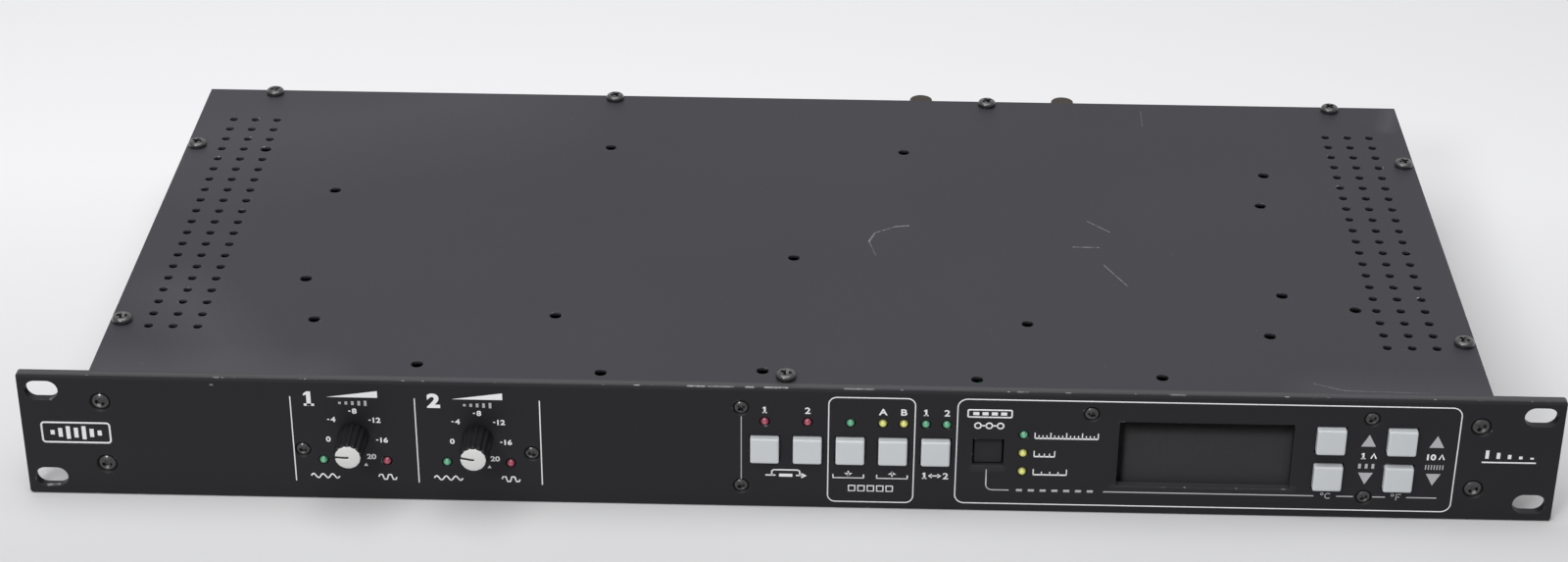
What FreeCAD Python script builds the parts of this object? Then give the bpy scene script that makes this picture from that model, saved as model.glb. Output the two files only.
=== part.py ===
"""A 1U rack effects unit: panel, chassis, controls, boards and rear connectors as separate solids.

Frame: X to the right seen from the front, Y towards the rear, Z up, in millimetres. The origin is
the centre of the chassis's underside. Front pieces are drawn in the panel's own plane (x, height,
distance out of the panel's back face), rear pieces in the rear wall's plane in the same way.
"""
import FreeCAD, Part
import math
import os
import re

import Sketcher
from FreeCAD import Rotation, Vector

SIZES = {
    # Front panel and its rack slots
    "panel_width": 480.0,
    "panel_height": 43.66,
    "panel_thickness": 3.0,
    "panel_corner": 1.0,
    "rack_slot_spacing": 465.1,
    "rack_slot_rise": 31.75,
    "rack_slot_length": 10.3,
    "rack_slot_width": 6.7,
    # Folded steel tray and its cover
    "chassis_width": 435.5,
    "chassis_depth": 203.2,
    "chassis_height": 43.4,
    "sheet_thickness": 1.2,
    "fold_radius": 2.0,
    "lip_width": 9.0,
    "cover_thickness": 1.2,
    "flange_width": 10.0,
    # Ventilation and access holes in the cover
    "vent_diameter": 2.8,
    "vent_pitch": 7.87,
    "vent_columns": 3,
    "vent_rows": 20,
    "vent_first_x": 189.2,
    "vent_first_setback": 28.75,
    "access_diameter": 3.8,
    "access_outer_x": 159.8,
    "access_outer_front": 61.2,
    "access_outer_rear": 124.2,
    "access_front_x": 152.8,
    "access_front_setback": 34.7,
    "access_inner_x": 75.8,
    "access_inner_setback": 39.8,
    "access_edge_x": 116.3,
    "access_edge_setback": 7.7,
    "access_corner_x": 58.6,
    "access_corner_setback": 4.6,
    "access_middle_setback": 81.2,
    "access_rear_left_x": -66.9,
    "access_rear_right_x": 37.4,
    "access_rear_setback": 160.6,
    "access_stray_x": 163.5,
    "access_stray_setback": 147.2,
    "access_vent_x": 182.5,
    "access_vent_setback": 52.6,
    "wide_vent_row": 16,
    "access_nick_x": -8.2,
    "access_nick_setback": 7.5,
    # Screws
    "screw_diameter": 3.5,
    "screw_head_diameter": 6.4,
    "screw_head_height": 2.1,
    "screw_length": 5.0,
    "small_screw_diameter": 3.0,
    "small_head_diameter": 5.4,
    "small_head_height": 1.5,
    "screw_clearance": 0.15,
    "sink_diameter": 7.0,
    "small_sink_diameter": 5.6,
    "sink_recess": 0.35,
    "sink_gap": 0.05,
    "cover_rear_outer_x": 193.5,
    "cover_rear_inner_x": 68.2,
    "cover_rear_inset": 3.3,
    "cover_side_inset": 3.9,
    "cover_side_front": 31.3,
    "cover_side_rear": 156.4,
    "rear_screw_low": 10.0,
    "rear_screw_high": 32.0,
    "cover_front_x": -0.8,
    "cover_front_setback": 3.4,
    "bracket_length": 12.0,
    "bracket_leg": 6.6,
    "ear_screw_x": 214.5,
    "ear_screw_low": 11.1,
    "ear_screw_high": 33.8,
    # Boards behind the panel
    "board_gap": 8.0,
    "board_thickness": 1.6,
    "board_bottom": 4.0,
    "board_top": 40.0,
    "level_board_left": -157.0,
    "level_board_right": -75.0,
    "level_screw_left_x": -152.1,
    "level_screw_right_x": -80.1,
    "level_screw_height": 17.8,
    "control_board_left": -20.0,
    "control_board_right": 202.0,
    "control_screw_left_x": -14.6,
    "control_screw_middle_x": 94.1,
    "control_screw_right_x": 180.7,
    "control_screw_low": 7.4,
    "control_screw_high": 36.0,
    "spacer_diameter": 6.0,
    # Knobs and potentiometers
    "knob_first_x": -135.8,
    "knob_pitch": 38.9,
    "knob_height": 23.4,
    "knob_base_diameter": 9.8,
    "knob_front_diameter": 9.2,
    "knob_length": 12.2,
    "knob_gap": 0.8,
    "knob_flutes": 14,
    "flute_diameter": 1.5,
    "flute_depth": 0.5,
    "knob_cap_diameter": 8.0,
    "knob_cap_thickness": 1.3,
    "knob_cap_crown": 0.3,
    "pointer_width": 0.7,
    "pointer_depth": 0.15,
    "pointer_turn": 8.0,
    "shaft_diameter": 4.0,
    "shaft_reach": 9.0,
    "bushing_diameter": 6.8,
    "pot_width": 9.5,
    "pot_height": 11.0,
    "pot_depth": 6.4,
    "running_gap": 0.05,
    # Push buttons
    "button_size": 9.0,
    "button_corner": 0.7,
    "button_rise": 2.0,
    "button_gap": 0.3,
    "button_travel": 0.6,
    "button_wall": 1.0,
    "button_skirt": 0.8,
    "button_skirt_lip": 0.7,
    "stem_diameter": 3.4,
    "stem_engagement": 1.2,
    "switch_width": 7.0,
    "switch_depth": 4.2,
    "button_first_x": -7.2,
    "button_pitch": 13.335,
    "button_height": 21.4,
    "mode_button_x": 62.55,
    "mode_button_recess": 1.2,
    "mode_button_margin": 0.35,
    "coarse_x": 168.6,
    "fine_x": 190.6,
    "up_height": 28.3,
    "down_height": 15.0,
    # Light-emitting diodes
    "lamp_diameter": 3.0,
    "lamp_gap": 0.1,
    "lamp_rise": 0.8,
    "lamp_seat_gap": 0.2,
    "lamp_flange_diameter": 3.8,
    "lamp_flange_thickness": 1.0,
    "lamp_lead_diameter": 0.6,
    "lamp_lead_spacing": 1.6,
    "lamp_height": 31.3,
    "lamp_pair_offset": 3.25,
    "level_lamp_offset": 10.0,
    "level_lamp_height": 14.2,
    "mode_lamp_x": 73.4,
    "mode_lamp_pitch": 6.7,
    # Display
    "window_x": 130.05,
    "window_height": 21.65,
    "window_width": 54.1,
    "window_rise": 23.5,
    "lens_margin": 2.0,
    "lens_thickness": 1.5,
    "display_width": 50.3,
    "display_rise": 19.0,
    "display_gap": 0.3,
    # Main board and what stands on it
    "main_board_width": 360.0,
    "main_board_front_gap": 4.0,
    "main_board_rear_gap": 0.5,
    "standoff_height": 6.0,
    "standoff_diameter": 6.5,
    "standoff_inset": 8.0,
    "standoff_rear_inset": 32.0,
    "chip_size": 24.0,
    "chip_thickness": 3.4,
    "chip_first_x": -20.0,
    "chip_pitch": 44.0,
    "chip_y": -20.0,
    "capacitor_diameter": 12.5,
    "capacitor_height": 22.0,
    "capacitor_first_x": -164.0,
    "capacitor_pitch": 16.0,
    "capacitor_y": -62.0,
    "heatsink_x": -140.0,
    "heatsink_y": 30.0,
    "heatsink_width": 60.0,
    "heatsink_height": 24.0,
    "heatsink_base": 3.0,
    "heatsink_fins": 9,
    "heatsink_fin_depth": 12.0,
    "heatsink_fin_thickness": 1.6,
    "regulator_width": 10.0,
    "regulator_height": 15.0,
    "regulator_thickness": 4.4,
    "regulator_pitch": 18.0,
    "header_width": 32.0,
    "header_thickness": 5.0,
    "level_header_x": -116.0,
    "control_header_x": 20.0,
    # Rear connectors
    "connector_first_x": 122.7,
    "connector_pitch": 26.1,
    "xlr_height": 24.5,
    "xlr_flange_width": 26.0,
    "xlr_flange_rise": 31.0,
    "xlr_flange_thickness": 2.0,
    "xlr_flange_corner": 2.0,
    "xlr_neck_diameter": 23.6,
    "xlr_bore_diameter": 19.2,
    "xlr_bore_depth": 16.0,
    "xlr_body_depth": 20.0,
    "xlr_body_width": 24.0,
    "xlr_insert_diameter": 15.6,
    "xlr_insert_recess": 1.0,
    "xlr_pin_diameter": 2.4,
    "xlr_pin_circle": 9.6,
    "xlr_contact_diameter": 3.0,
    "xlr_screw_spacing": 19.0,
    "xlr_screw_rise": 24.0,
    "panel_hole_gap": 0.3,
    "latch_width": 8.2,
    "latch_thickness": 3.4,
    "latch_offset": 12.5,
    "latch_reach": 11.5,
    "latch_tail": 5.0,
    "latch_gap": 0.3,
    "jack_height": 16.0,
    "jack_bore_diameter": 6.5,
    "jack_bushing_diameter": 9.2,
    "jack_bushing_length": 6.0,
    "jack_body_width": 15.5,
    "jack_body_top": 23.6,
    "jack_body_depth": 22.0,
    "jack_bore_depth": 27.0,
    "jack_nut_width": 12.0,
    "jack_nut_thickness": 2.4,
    "inlet_x": -150.0,
    "inlet_width": 13.6,
    "inlet_top": 24.0,
    "inlet_depth": 16.0,
    "inlet_rise": 0.6,
    "inlet_cavity_width": 10.0,
    "inlet_cavity_rise": 8.6,
    "inlet_cavity_depth": 13.0,
    "inlet_floor": 2.4,
    "ground_x": -176.0,
    "ground_height": 20.0,
    "washer_diameter": 9.0,
    "washer_thickness": 0.8,
}

doc = FreeCAD.newDocument("RackUnit")
sheet = doc.addObject("Spreadsheet::Sheet", "Sizes")
for row, (alias, size) in enumerate(SIZES.items(), start=1):
    sheet.set(f"A{row}", alias)
    sheet.set(f"B{row}", str(size))
    sheet.setAlias(f"B{row}", alias)
doc.recompute()

# Turns that carry a body drawn in its own XY plane onto the front panel or the rear wall
FACING_FRONT = Rotation(Vector(1, 0, 0), 90)
FACING_REAR = Rotation(Vector(0, 0, 1), 180) * FACING_FRONT
UPRIGHT = Rotation()

PANEL_BACK = "(-chassis_depth / 2)"
REAR_FACE = "(chassis_depth / 2)"
WALL_FRONT = "(chassis_depth / 2 - sheet_thickness)"
COVER_SEAT = "(chassis_height - cover_thickness)"
LIP_UNDER = f"({COVER_SEAT} - sheet_thickness)"
BOARD_TOP = "(sheet_thickness + standoff_height + board_thickness)"

subparts = []


# ---------------------------------------------------------------- expressions and placements
def bound(text):
    """An expression in which every size name points at its cell in the sheet."""
    return re.sub(r"[a-z][a-z_0-9]*", lambda m: f"Sizes.{m[0]}" if m[0] in SIZES else m[0], text)


def number(text):
    """The value of an expression as the sheet stands now."""
    return float(sheet.evalExpression(bound(text)))


def place(item, x="0", y="0", z="0", turn=UPRIGHT):
    """Turn an object and tie its position to three expressions."""
    item.Placement = FreeCAD.Placement(Vector(number(x), number(y), number(z)), turn)
    for axis, text in zip("xyz", (x, y, z)):
        item.setExpression(f"Placement.Base.{axis}", bound(text))
    return item


def place_front(item, x="0", height="0", out="0", turn=0.0):
    """Place an object drawn in the panel's plane; turn is in degrees, clockwise from the front."""
    spin = FACING_FRONT * Rotation(Vector(0, 0, 1), -turn)
    return place(item, x, f"{PANEL_BACK} - ({out})", height, spin)


def place_rear(item, x="0", height="0", out="0"):
    """Place an object drawn in the rear wall's plane, where its own x runs to the left."""
    return place(item, x, f"{REAR_FACE} + ({out})", height, FACING_REAR)


def keep(item, label):
    """Name a finished sub-part, which gives its node and its file their name."""
    item.Label = label
    subparts.append(item)
    return item


# ---------------------------------------------------------------- sketches
def new_body(name):
    return doc.addObject("PartDesign::Body", name)


def origin_feature(body, role):
    return next(item for item in body.Origin.OriginFeatures if item.Role == role)


def new_sketch(body, plane="XY_Plane", offset="0"):
    """A sketch on one of the body's own origin planes, raised along that plane's normal."""
    sketch = body.newObject("Sketcher::SketchObject", f"{body.Name}_sketch")
    sketch.AttachmentSupport = [(origin_feature(body, plane), "")]
    sketch.MapMode = "FlatFace"
    sketch.setExpression("AttachmentOffset.Base.z", bound(offset))
    return sketch


def constrain(sketch, kind, where, text):
    """Add a dimension and bind it to an expression."""
    index = sketch.addConstraint(Sketcher.Constraint(kind, *where, number(text)))
    sketch.setExpression(f"Constraints[{index}]", bound(text))


def fix_point(sketch, edge, vertex, x, y):
    constrain(sketch, "DistanceX", (-1, 1, edge, vertex), x)
    constrain(sketch, "DistanceY", (-1, 1, edge, vertex), y)


def add_circle(sketch, x, y, diameter):
    middle = Vector(number(x), number(y), 0)
    edge = sketch.addGeometry(Part.Circle(middle, Vector(0, 0, 1), number(diameter) / 2))
    fix_point(sketch, edge, 3, x, y)
    constrain(sketch, "Diameter", (edge,), diameter)


def add_arc(sketch, start, end, radius):
    """The short arc between two points; a positive radius turns left, a negative one right."""
    if radius < 0:
        edge, first, last = add_arc(sketch, end, start, -radius)
        return edge, last, first
    chord = end - start
    rise = math.sqrt(radius ** 2 - (chord.Length / 2) ** 2)
    side = Vector(-chord.y, chord.x, 0).normalize()
    middle = (start + end) * 0.5 + side * rise
    from_angle = math.atan2(start.y - middle.y, start.x - middle.x)
    to_angle = math.atan2(end.y - middle.y, end.x - middle.x)
    circle = Part.Circle(middle, Vector(0, 0, 1), radius)
    return sketch.addGeometry(Part.ArcOfCircle(circle, from_angle, to_angle)), 1, 2


def add_outline(sketch, corners):
    """A closed outline; a corner with a third entry starts an arc of that signed radius."""
    points = [Vector(number(corner[0]), number(corner[1]), 0) for corner in corners]
    edges = []
    for index, corner in enumerate(corners):
        start = points[index]
        end = points[(index + 1) % len(points)]
        if len(corner) == 3:
            edges.append(add_arc(sketch, start, end, number(corner[2])))
            constrain(sketch, "Radius", (edges[-1][0],), f"abs({corner[2]})")
        else:
            edges.append((sketch.addGeometry(Part.LineSegment(start, end)), 1, 2))
    for index, corner in enumerate(corners):
        edge, first, _ = edges[index]
        before, _, last = edges[index - 1]
        sketch.addConstraint(Sketcher.Constraint("Coincident", before, last, edge, first))
        fix_point(sketch, edge, first, corner[0], corner[1])


def add_rectangle(sketch, x, y, width, rise):
    """A sharp rectangle about its centre."""
    left, right = f"({x}) - ({width}) / 2", f"({x}) + ({width}) / 2"
    low, high = f"({y}) - ({rise}) / 2", f"({y}) + ({rise}) / 2"
    add_outline(sketch, [(left, low), (right, low), (right, high), (left, high)])


def add_rounded(sketch, x, y, width, rise, radius):
    """A rectangle about its centre with its four corners rounded by tangent arcs."""
    across, up, turn = number(width) / 2, number(rise) / 2, number(radius)
    middle = Vector(number(x), number(y), 0)
    arcs = []
    for quarter, (side, level) in enumerate(((1, -1), (1, 1), (-1, 1), (-1, -1))):
        heart = middle + Vector(side * (across - turn), level * (up - turn), 0)
        from_angle = math.radians(90 * (quarter - 1))
        circle = Part.Circle(heart, Vector(0, 0, 1), turn)
        arc = sketch.addGeometry(Part.ArcOfCircle(circle, from_angle, from_angle + math.pi / 2))
        arcs.append(arc)
        fix_point(sketch, arc, 3, f"({x}) + {side} * (({width}) / 2 - ({radius}))",
                  f"({y}) + {level} * (({rise}) / 2 - ({radius}))")
        constrain(sketch, "Radius", (arc,), radius)
    join_arcs(sketch, arcs)


def join_arcs(sketch, arcs):
    """Close a ring of arcs with the straight edges that touch each pair."""
    for index, arc in enumerate(arcs):
        following = arcs[(index + 1) % len(arcs)]
        start = sketch.getPoint(arc, 2)
        end = sketch.getPoint(following, 1)
        edge = sketch.addGeometry(Part.LineSegment(start, end))
        sketch.addConstraint(Sketcher.Constraint("Tangent", arc, 2, edge, 1))
        sketch.addConstraint(Sketcher.Constraint("Tangent", edge, 2, following, 1))


def add_slot(sketch, x, y, length, width):
    """A slot with round ends along the sketch's x direction."""
    radius = number(width) / 2
    arcs = []
    for side, from_angle in ((1, -math.pi / 2), (-1, math.pi / 2)):
        reach = f"({x}) + {side} * (({length}) - ({width})) / 2"
        circle = Part.Circle(Vector(number(reach), number(y), 0), Vector(0, 0, 1), radius)
        arc = sketch.addGeometry(Part.ArcOfCircle(circle, from_angle, from_angle + math.pi))
        fix_point(sketch, arc, 3, reach, y)
        constrain(sketch, "Radius", (arc,), f"({width}) / 2")
        arcs.append(arc)
    join_arcs(sketch, arcs)


# ---------------------------------------------------------------- features
def pad(body, sketch, length, both_ways=False):
    feature = body.newObject("PartDesign::Pad", f"{body.Name}_pad")
    feature.Profile = sketch
    feature.Midplane = both_ways
    feature.setExpression("Length", bound(length))
    return feature


def cut_through(body, sketch):
    feature = body.newObject("PartDesign::Pocket", f"{body.Name}_through")
    feature.Profile = sketch
    feature.Type = "ThroughAll"
    feature.Midplane = True
    return feature


def cut_down(body, sketch, depth):
    """A pocket from the sketch's plane against its normal."""
    feature = body.newObject("PartDesign::Pocket", f"{body.Name}_pocket")
    feature.Profile = sketch
    feature.setExpression("Length", bound(depth))
    return feature


def cut_sunk(body, spots, hole, sink):
    """Holes through the panel, each with a cone for a flat screw head at its front."""
    marks = new_sketch(body, "XY_Plane", "panel_thickness")
    for x, height in spots:
        add_circle(marks, x, height, hole)
    doc.recompute()
    feature = body.newObject("PartDesign::Hole", f"{body.Name}_sunk")
    feature.Profile = marks
    doc.recompute()
    feature.ThreadType = "None"
    feature.DepthType = "ThroughAll"
    feature.HoleCutType = "Countersink"
    feature.HoleCutCountersinkAngle = 90
    feature.setExpression("Diameter", bound(hole))
    feature.setExpression("HoleCutDiameter", bound(sink))
    return feature


def revolve(body, sketch):
    """A full turn about the vertical axis of a sketch in the body's XZ plane."""
    feature = body.newObject("PartDesign::Revolution", f"{body.Name}_turn")
    feature.Profile = sketch
    feature.ReferenceAxis = (sketch, ["V_Axis"])
    feature.Angle = 360
    return feature


def turned_body(name, corners):
    """A body of revolution about its own Z from corners given as (radius, height)."""
    body = new_body(name)
    profile = new_sketch(body, "XZ_Plane")
    add_outline(profile, corners)
    revolve(body, profile)
    return body


def group(template, label, placer, places):
    """One sub-part that holds a copy of the template at each place, as separate solids."""
    copies = []
    for spot in places:
        copy = doc.addObject("App::Link", f"{label}_copy")
        copy.LinkedObject = template
        placer(copy, *spot)
        copies.append(copy)
    compound = doc.addObject("Part::Compound", label)
    compound.Links = copies
    return keep(compound, label)


# ---------------------------------------------------------------- where things are
def row_x(index):
    return f"(button_first_x + {index} * button_pitch)"


def knob_x(index):
    return f"(knob_first_x + {index} * knob_pitch)"


def connector_x(index):
    return f"(connector_first_x - {index} * connector_pitch)"


def behind_front(setback):
    """The y position of a hole given by its distance behind the cover's front edge."""
    return f"({setback} - chassis_depth / 2)"


MODE_HEIGHT = "button_height"
BUTTONS = {
    "bypass_button_1": (row_x(0), "button_height"),
    "bypass_button_2": (row_x(1), "button_height"),
    "store_button": (row_x(2), "button_height"),
    "recall_button": (row_x(3), "button_height"),
    "channel_button": (row_x(4), "button_height"),
    "coarse_up_button": ("coarse_x", "up_height"),
    "coarse_down_button": ("coarse_x", "down_height"),
    "fine_up_button": ("fine_x", "up_height"),
    "fine_down_button": ("fine_x", "down_height"),
}
LAMPS = {
    "green_lamps": [
        (f"{knob_x(0)} - level_lamp_offset", "level_lamp_height"),
        (f"{knob_x(1)} - level_lamp_offset", "level_lamp_height"),
        (row_x(2), "lamp_height"),
        (f"{row_x(4)} - lamp_pair_offset", "lamp_height"),
        (f"{row_x(4)} + lamp_pair_offset", "lamp_height"),
        ("mode_lamp_x", f"{MODE_HEIGHT} + mode_lamp_pitch"),
    ],
    "red_lamps": [
        (f"{knob_x(0)} + level_lamp_offset", "level_lamp_height"),
        (f"{knob_x(1)} + level_lamp_offset", "level_lamp_height"),
        (row_x(0), "lamp_height"),
        (row_x(1), "lamp_height"),
    ],
    "yellow_lamps": [
        (f"{row_x(3)} - lamp_pair_offset", "lamp_height"),
        (f"{row_x(3)} + lamp_pair_offset", "lamp_height"),
        ("mode_lamp_x", MODE_HEIGHT),
        ("mode_lamp_x", f"{MODE_HEIGHT} - mode_lamp_pitch"),
    ],
}
LEVEL_SCREWS = [
    ("level_screw_left_x", "level_screw_height"),
    ("level_screw_right_x", "level_screw_height"),
]
CONTROL_SCREWS = [
    ("control_screw_left_x", "control_screw_low"),
    ("control_screw_left_x", "control_screw_high"),
    ("control_screw_middle_x", "control_screw_high"),
    ("control_screw_right_x", "control_screw_low"),
    ("control_screw_right_x", "control_screw_high"),
]
EAR_SCREWS = [
    (f"{side} * ear_screw_x", level) for side in (-1, 1) for level in ("ear_screw_low", "ear_screw_high")
]
BRACKET_SCREW = ("cover_front_x", behind_front("cover_front_setback"))
SIDE_SCREWS = [
    (f"{side} * (chassis_width / 2 - cover_side_inset)", behind_front(f"cover_side_{end}"))
    for side in (-1, 1) for end in ("front", "rear")
]
REAR_LIP_SCREWS = [
    (f"{side} * cover_rear_{name}_x", "chassis_depth / 2 - cover_rear_inset")
    for side in (-1, 1) for name in ("outer", "inner")
]
COVER_SCREWS = [BRACKET_SCREW, *SIDE_SCREWS, *REAR_LIP_SCREWS]
REAR_SCREWS = [
    (f"{side} * (chassis_width / 2 - sheet_thickness - flange_width / 2)", f"rear_screw_{level}")
    for side in (-1, 1) for level in ("low", "high")
]
JACKS = {"input_jack_2": 0, "input_jack_1": 2, "output_jack_2": 4, "output_jack_1": 6}
XLR_INPUTS = {"2": 1, "1": 3}
XLR_OUTPUTS = {"2": 5, "1": 7}

SCREW_HOLE = "screw_diameter + 2 * screw_clearance"
SMALL_HOLE = "small_screw_diameter + 2 * screw_clearance"


# ---------------------------------------------------------------- panel, tray and cover
def make_front_panel():
    """The slotted rack panel with an opening for each control, lamp and screw."""
    body = new_body("panel")
    plate = new_sketch(body)
    add_rounded(plate, "0", "panel_height / 2", "panel_width", "panel_height", "panel_corner")
    pad(body, plate, "panel_thickness")

    slots = new_sketch(body)
    for side in (-1, 1):
        for level in (-1, 1):
            add_slot(slots, f"{side} * rack_slot_spacing / 2",
                     f"panel_height / 2 + {level} * rack_slot_rise / 2",
                     "rack_slot_length", "rack_slot_width")
    cut_through(body, slots)

    windows = new_sketch(body)
    for x, height in BUTTONS.values():
        add_rectangle(windows, x, height, "button_size + 2 * button_gap",
                      "button_size + 2 * button_gap")
    add_rectangle(windows, "mode_button_x", MODE_HEIGHT, "button_size + 2 * mode_button_margin",
                  "button_size + 2 * mode_button_margin")
    add_rectangle(windows, "window_x", "window_height", "window_width", "window_rise")
    cut_through(body, windows)

    holes = new_sketch(body)
    for lamps in LAMPS.values():
        for x, height in lamps:
            add_circle(holes, x, height, "lamp_diameter + 2 * lamp_gap")
    for index in range(2):
        add_circle(holes, knob_x(index), "knob_height", "bushing_diameter + 2 * lamp_gap")
    cut_through(body, holes)
    cut_sunk(body, LEVEL_SCREWS + CONTROL_SCREWS, SMALL_HOLE, "small_sink_diameter")
    cut_sunk(body, EAR_SCREWS, SCREW_HOLE, "sink_diameter")
    place_front(body)
    keep(body, "front_panel")


def make_tray():
    """The folded tray: floor, side walls and lips in one profile, then a flange at each end."""
    body = new_body("tray")
    half = "(chassis_width / 2)"
    inside = "(chassis_width / 2 - sheet_thickness)"
    profile = new_sketch(body, "XZ_Plane", f"-{WALL_FRONT}")
    add_outline(profile, [
        (f"-{half} + fold_radius", "0"),
        (f"{half} - fold_radius", "0", "fold_radius"),
        (half, "fold_radius"),
        (half, f"{COVER_SEAT} - fold_radius", "fold_radius"),
        (f"{half} - fold_radius", COVER_SEAT),
        (f"{half} - lip_width", COVER_SEAT),
        (f"{half} - lip_width", LIP_UNDER),
        (inside, LIP_UNDER),
        (inside, "sheet_thickness"),
        (f"-{inside}", "sheet_thickness"),
        (f"-{inside}", LIP_UNDER),
        (f"-{half} + lip_width", LIP_UNDER),
        (f"-{half} + lip_width", COVER_SEAT),
        (f"-{half} + fold_radius", COVER_SEAT, "fold_radius"),
        (f"-{half}", f"{COVER_SEAT} - fold_radius"),
        (f"-{half}", "fold_radius", "fold_radius"),
    ])
    pad(body, profile, "chassis_depth - sheet_thickness")

    for offset in (f"-{PANEL_BACK} - sheet_thickness", f"-{WALL_FRONT}"):
        flanges = new_sketch(body, "XZ_Plane", offset)
        for side in (-1, 1):
            add_rectangle(flanges, f"{side} * ({inside} - flange_width / 2)", f"{COVER_SEAT} / 2",
                          "flange_width", f"{COVER_SEAT} - 2 * sheet_thickness")
        pad(body, flanges, "sheet_thickness")

    ear_holes = new_sketch(body, "XZ_Plane", f"-{PANEL_BACK}")
    for x, height in EAR_SCREWS:
        add_circle(ear_holes, x, height, SCREW_HOLE)
    cut_down(body, ear_holes, "2 * sheet_thickness")

    rear_holes = new_sketch(body, "XZ_Plane", f"-{WALL_FRONT} + sheet_thickness")
    for x, height in REAR_SCREWS:
        add_circle(rear_holes, x, height, SMALL_HOLE)
    cut_down(body, rear_holes, "sheet_thickness")

    lip_holes = new_sketch(body, "XY_Plane", COVER_SEAT)
    for x, y in SIDE_SCREWS:
        add_circle(lip_holes, x, y, SCREW_HOLE)
    cut_down(body, lip_holes, "2 * sheet_thickness")
    keep(body, "chassis_tray")


def make_rear_panel():
    """The rear wall with a port for each connector, folded forwards at its top to carry the cover."""
    body = new_body("rear_wall")
    plate = new_sketch(body, "XZ_Plane", f"-{REAR_FACE}")
    add_rounded(plate, "0", f"{COVER_SEAT} / 2", "chassis_width", COVER_SEAT, "fold_radius")
    pad(body, plate, "sheet_thickness")

    lip = new_sketch(body, "XY_Plane", LIP_UNDER)
    add_rectangle(lip, "0", f"{REAR_FACE} - lip_width / 2",
                  "chassis_width - 2 * lip_width - 2 * panel_hole_gap", "lip_width")
    pad(body, lip, "sheet_thickness")

    lip_holes = new_sketch(body, "XY_Plane", COVER_SEAT)
    for x, y in REAR_LIP_SCREWS:
        add_circle(lip_holes, x, y, SCREW_HOLE)
    cut_down(body, lip_holes, "sheet_thickness")

    round_ports = new_sketch(body, "XZ_Plane", f"-{REAR_FACE} + 2 * sheet_thickness")
    for index in (*XLR_INPUTS.values(), *XLR_OUTPUTS.values()):
        x = connector_x(index)
        add_circle(round_ports, x, "xlr_height", "xlr_neck_diameter + 2 * panel_hole_gap")
        for side in (-1, 1):
            add_circle(round_ports, f"{x} + {side} * xlr_screw_spacing / 2",
                       f"xlr_height + {side} * xlr_screw_rise / 2", SMALL_HOLE)
    for index in JACKS.values():
        add_circle(round_ports, connector_x(index), "jack_height",
                   "jack_bushing_diameter + 2 * panel_hole_gap")
    for x, height in REAR_SCREWS:
        add_circle(round_ports, x, height, SMALL_HOLE)
    add_circle(round_ports, "ground_x", "ground_height", SCREW_HOLE)
    cut_down(body, round_ports, "4 * sheet_thickness")

    latch_top = "(latch_offset + latch_thickness + latch_gap)"
    square_ports = new_sketch(body, "XZ_Plane", f"-{REAR_FACE} + 2 * sheet_thickness")
    for index in XLR_INPUTS.values():
        add_rectangle(square_ports, connector_x(index), f"xlr_height + {latch_top} / 2",
                      "latch_width + 2 * latch_gap", latch_top)
    cut_down(body, square_ports, "4 * sheet_thickness")

    inlet_port = new_sketch(body, "XZ_Plane", f"-{REAR_FACE} + 2 * sheet_thickness")
    add_rectangle(inlet_port, "inlet_x", f"({BOARD_TOP} + inlet_top) / 2",
                  "inlet_width + 2 * panel_hole_gap", f"inlet_top - {BOARD_TOP} + 2 * panel_hole_gap")
    cut_down(body, inlet_port, "4 * sheet_thickness")
    keep(body, "rear_panel")


def make_cover():
    """The flat cover with its two vent fields and the access holes above the boards."""
    body = new_body("cover")
    plate = new_sketch(body, "XY_Plane", COVER_SEAT)
    add_rectangle(plate, "0", "0", "chassis_width", "chassis_depth")
    pad(body, plate, "cover_thickness")

    holes = new_sketch(body, "XY_Plane", COVER_SEAT)
    for x, y in COVER_SCREWS:
        add_circle(holes, x, y, SCREW_HOLE)
    for name in ("outer_front", "outer_rear"):
        for side in (-1, 1):
            add_circle(holes, f"{side} * access_outer_x", behind_front(f"access_{name}"), "access_diameter")
    for name in ("front", "inner", "edge", "corner"):
        for side in (-1, 1):
            add_circle(holes, f"{side} * access_{name}_x", behind_front(f"access_{name}_setback"),
                       "access_diameter")
    add_circle(holes, "0", behind_front("access_middle_setback"), "access_diameter")
    for name in ("rear_left", "rear_right"):
        add_circle(holes, f"access_{name}_x", behind_front("access_rear_setback"), "access_diameter")
    for name in ("stray", "vent", "nick"):
        add_circle(holes, f"access_{name}_x", behind_front(f"access_{name}_setback"), "access_diameter")
    add_circle(holes, "-vent_first_x", behind_front("vent_first_setback + wide_vent_row * vent_pitch"),
               "access_diameter")
    cut_through(body, holes)

    vent = new_sketch(body, "XY_Plane", COVER_SEAT)
    add_circle(vent, "vent_first_x", behind_front("vent_first_setback"), "vent_diameter")
    first = cut_through(body, vent)
    field = body.newObject("PartDesign::MultiTransform", "vent_fields")
    steps = []
    for role, count in (("X_Axis", "vent_columns"), ("Y_Axis", "vent_rows")):
        step = body.newObject("PartDesign::LinearPattern", f"vent_{role}")
        step.Direction = (origin_feature(body, role), [""])
        step.setExpression("Length", bound(f"vent_pitch * ({count} - 1)"))
        step.setExpression("Occurrences", bound(count))
        steps.append(step)
    mirror = body.newObject("PartDesign::Mirrored", "vent_mirror")
    mirror.MirrorPlane = (origin_feature(body, "YZ_Plane"), [""])
    field.Originals = [first]
    field.Transformations = [*steps, mirror]
    body.Tip = field
    keep(body, "top_cover")


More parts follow.
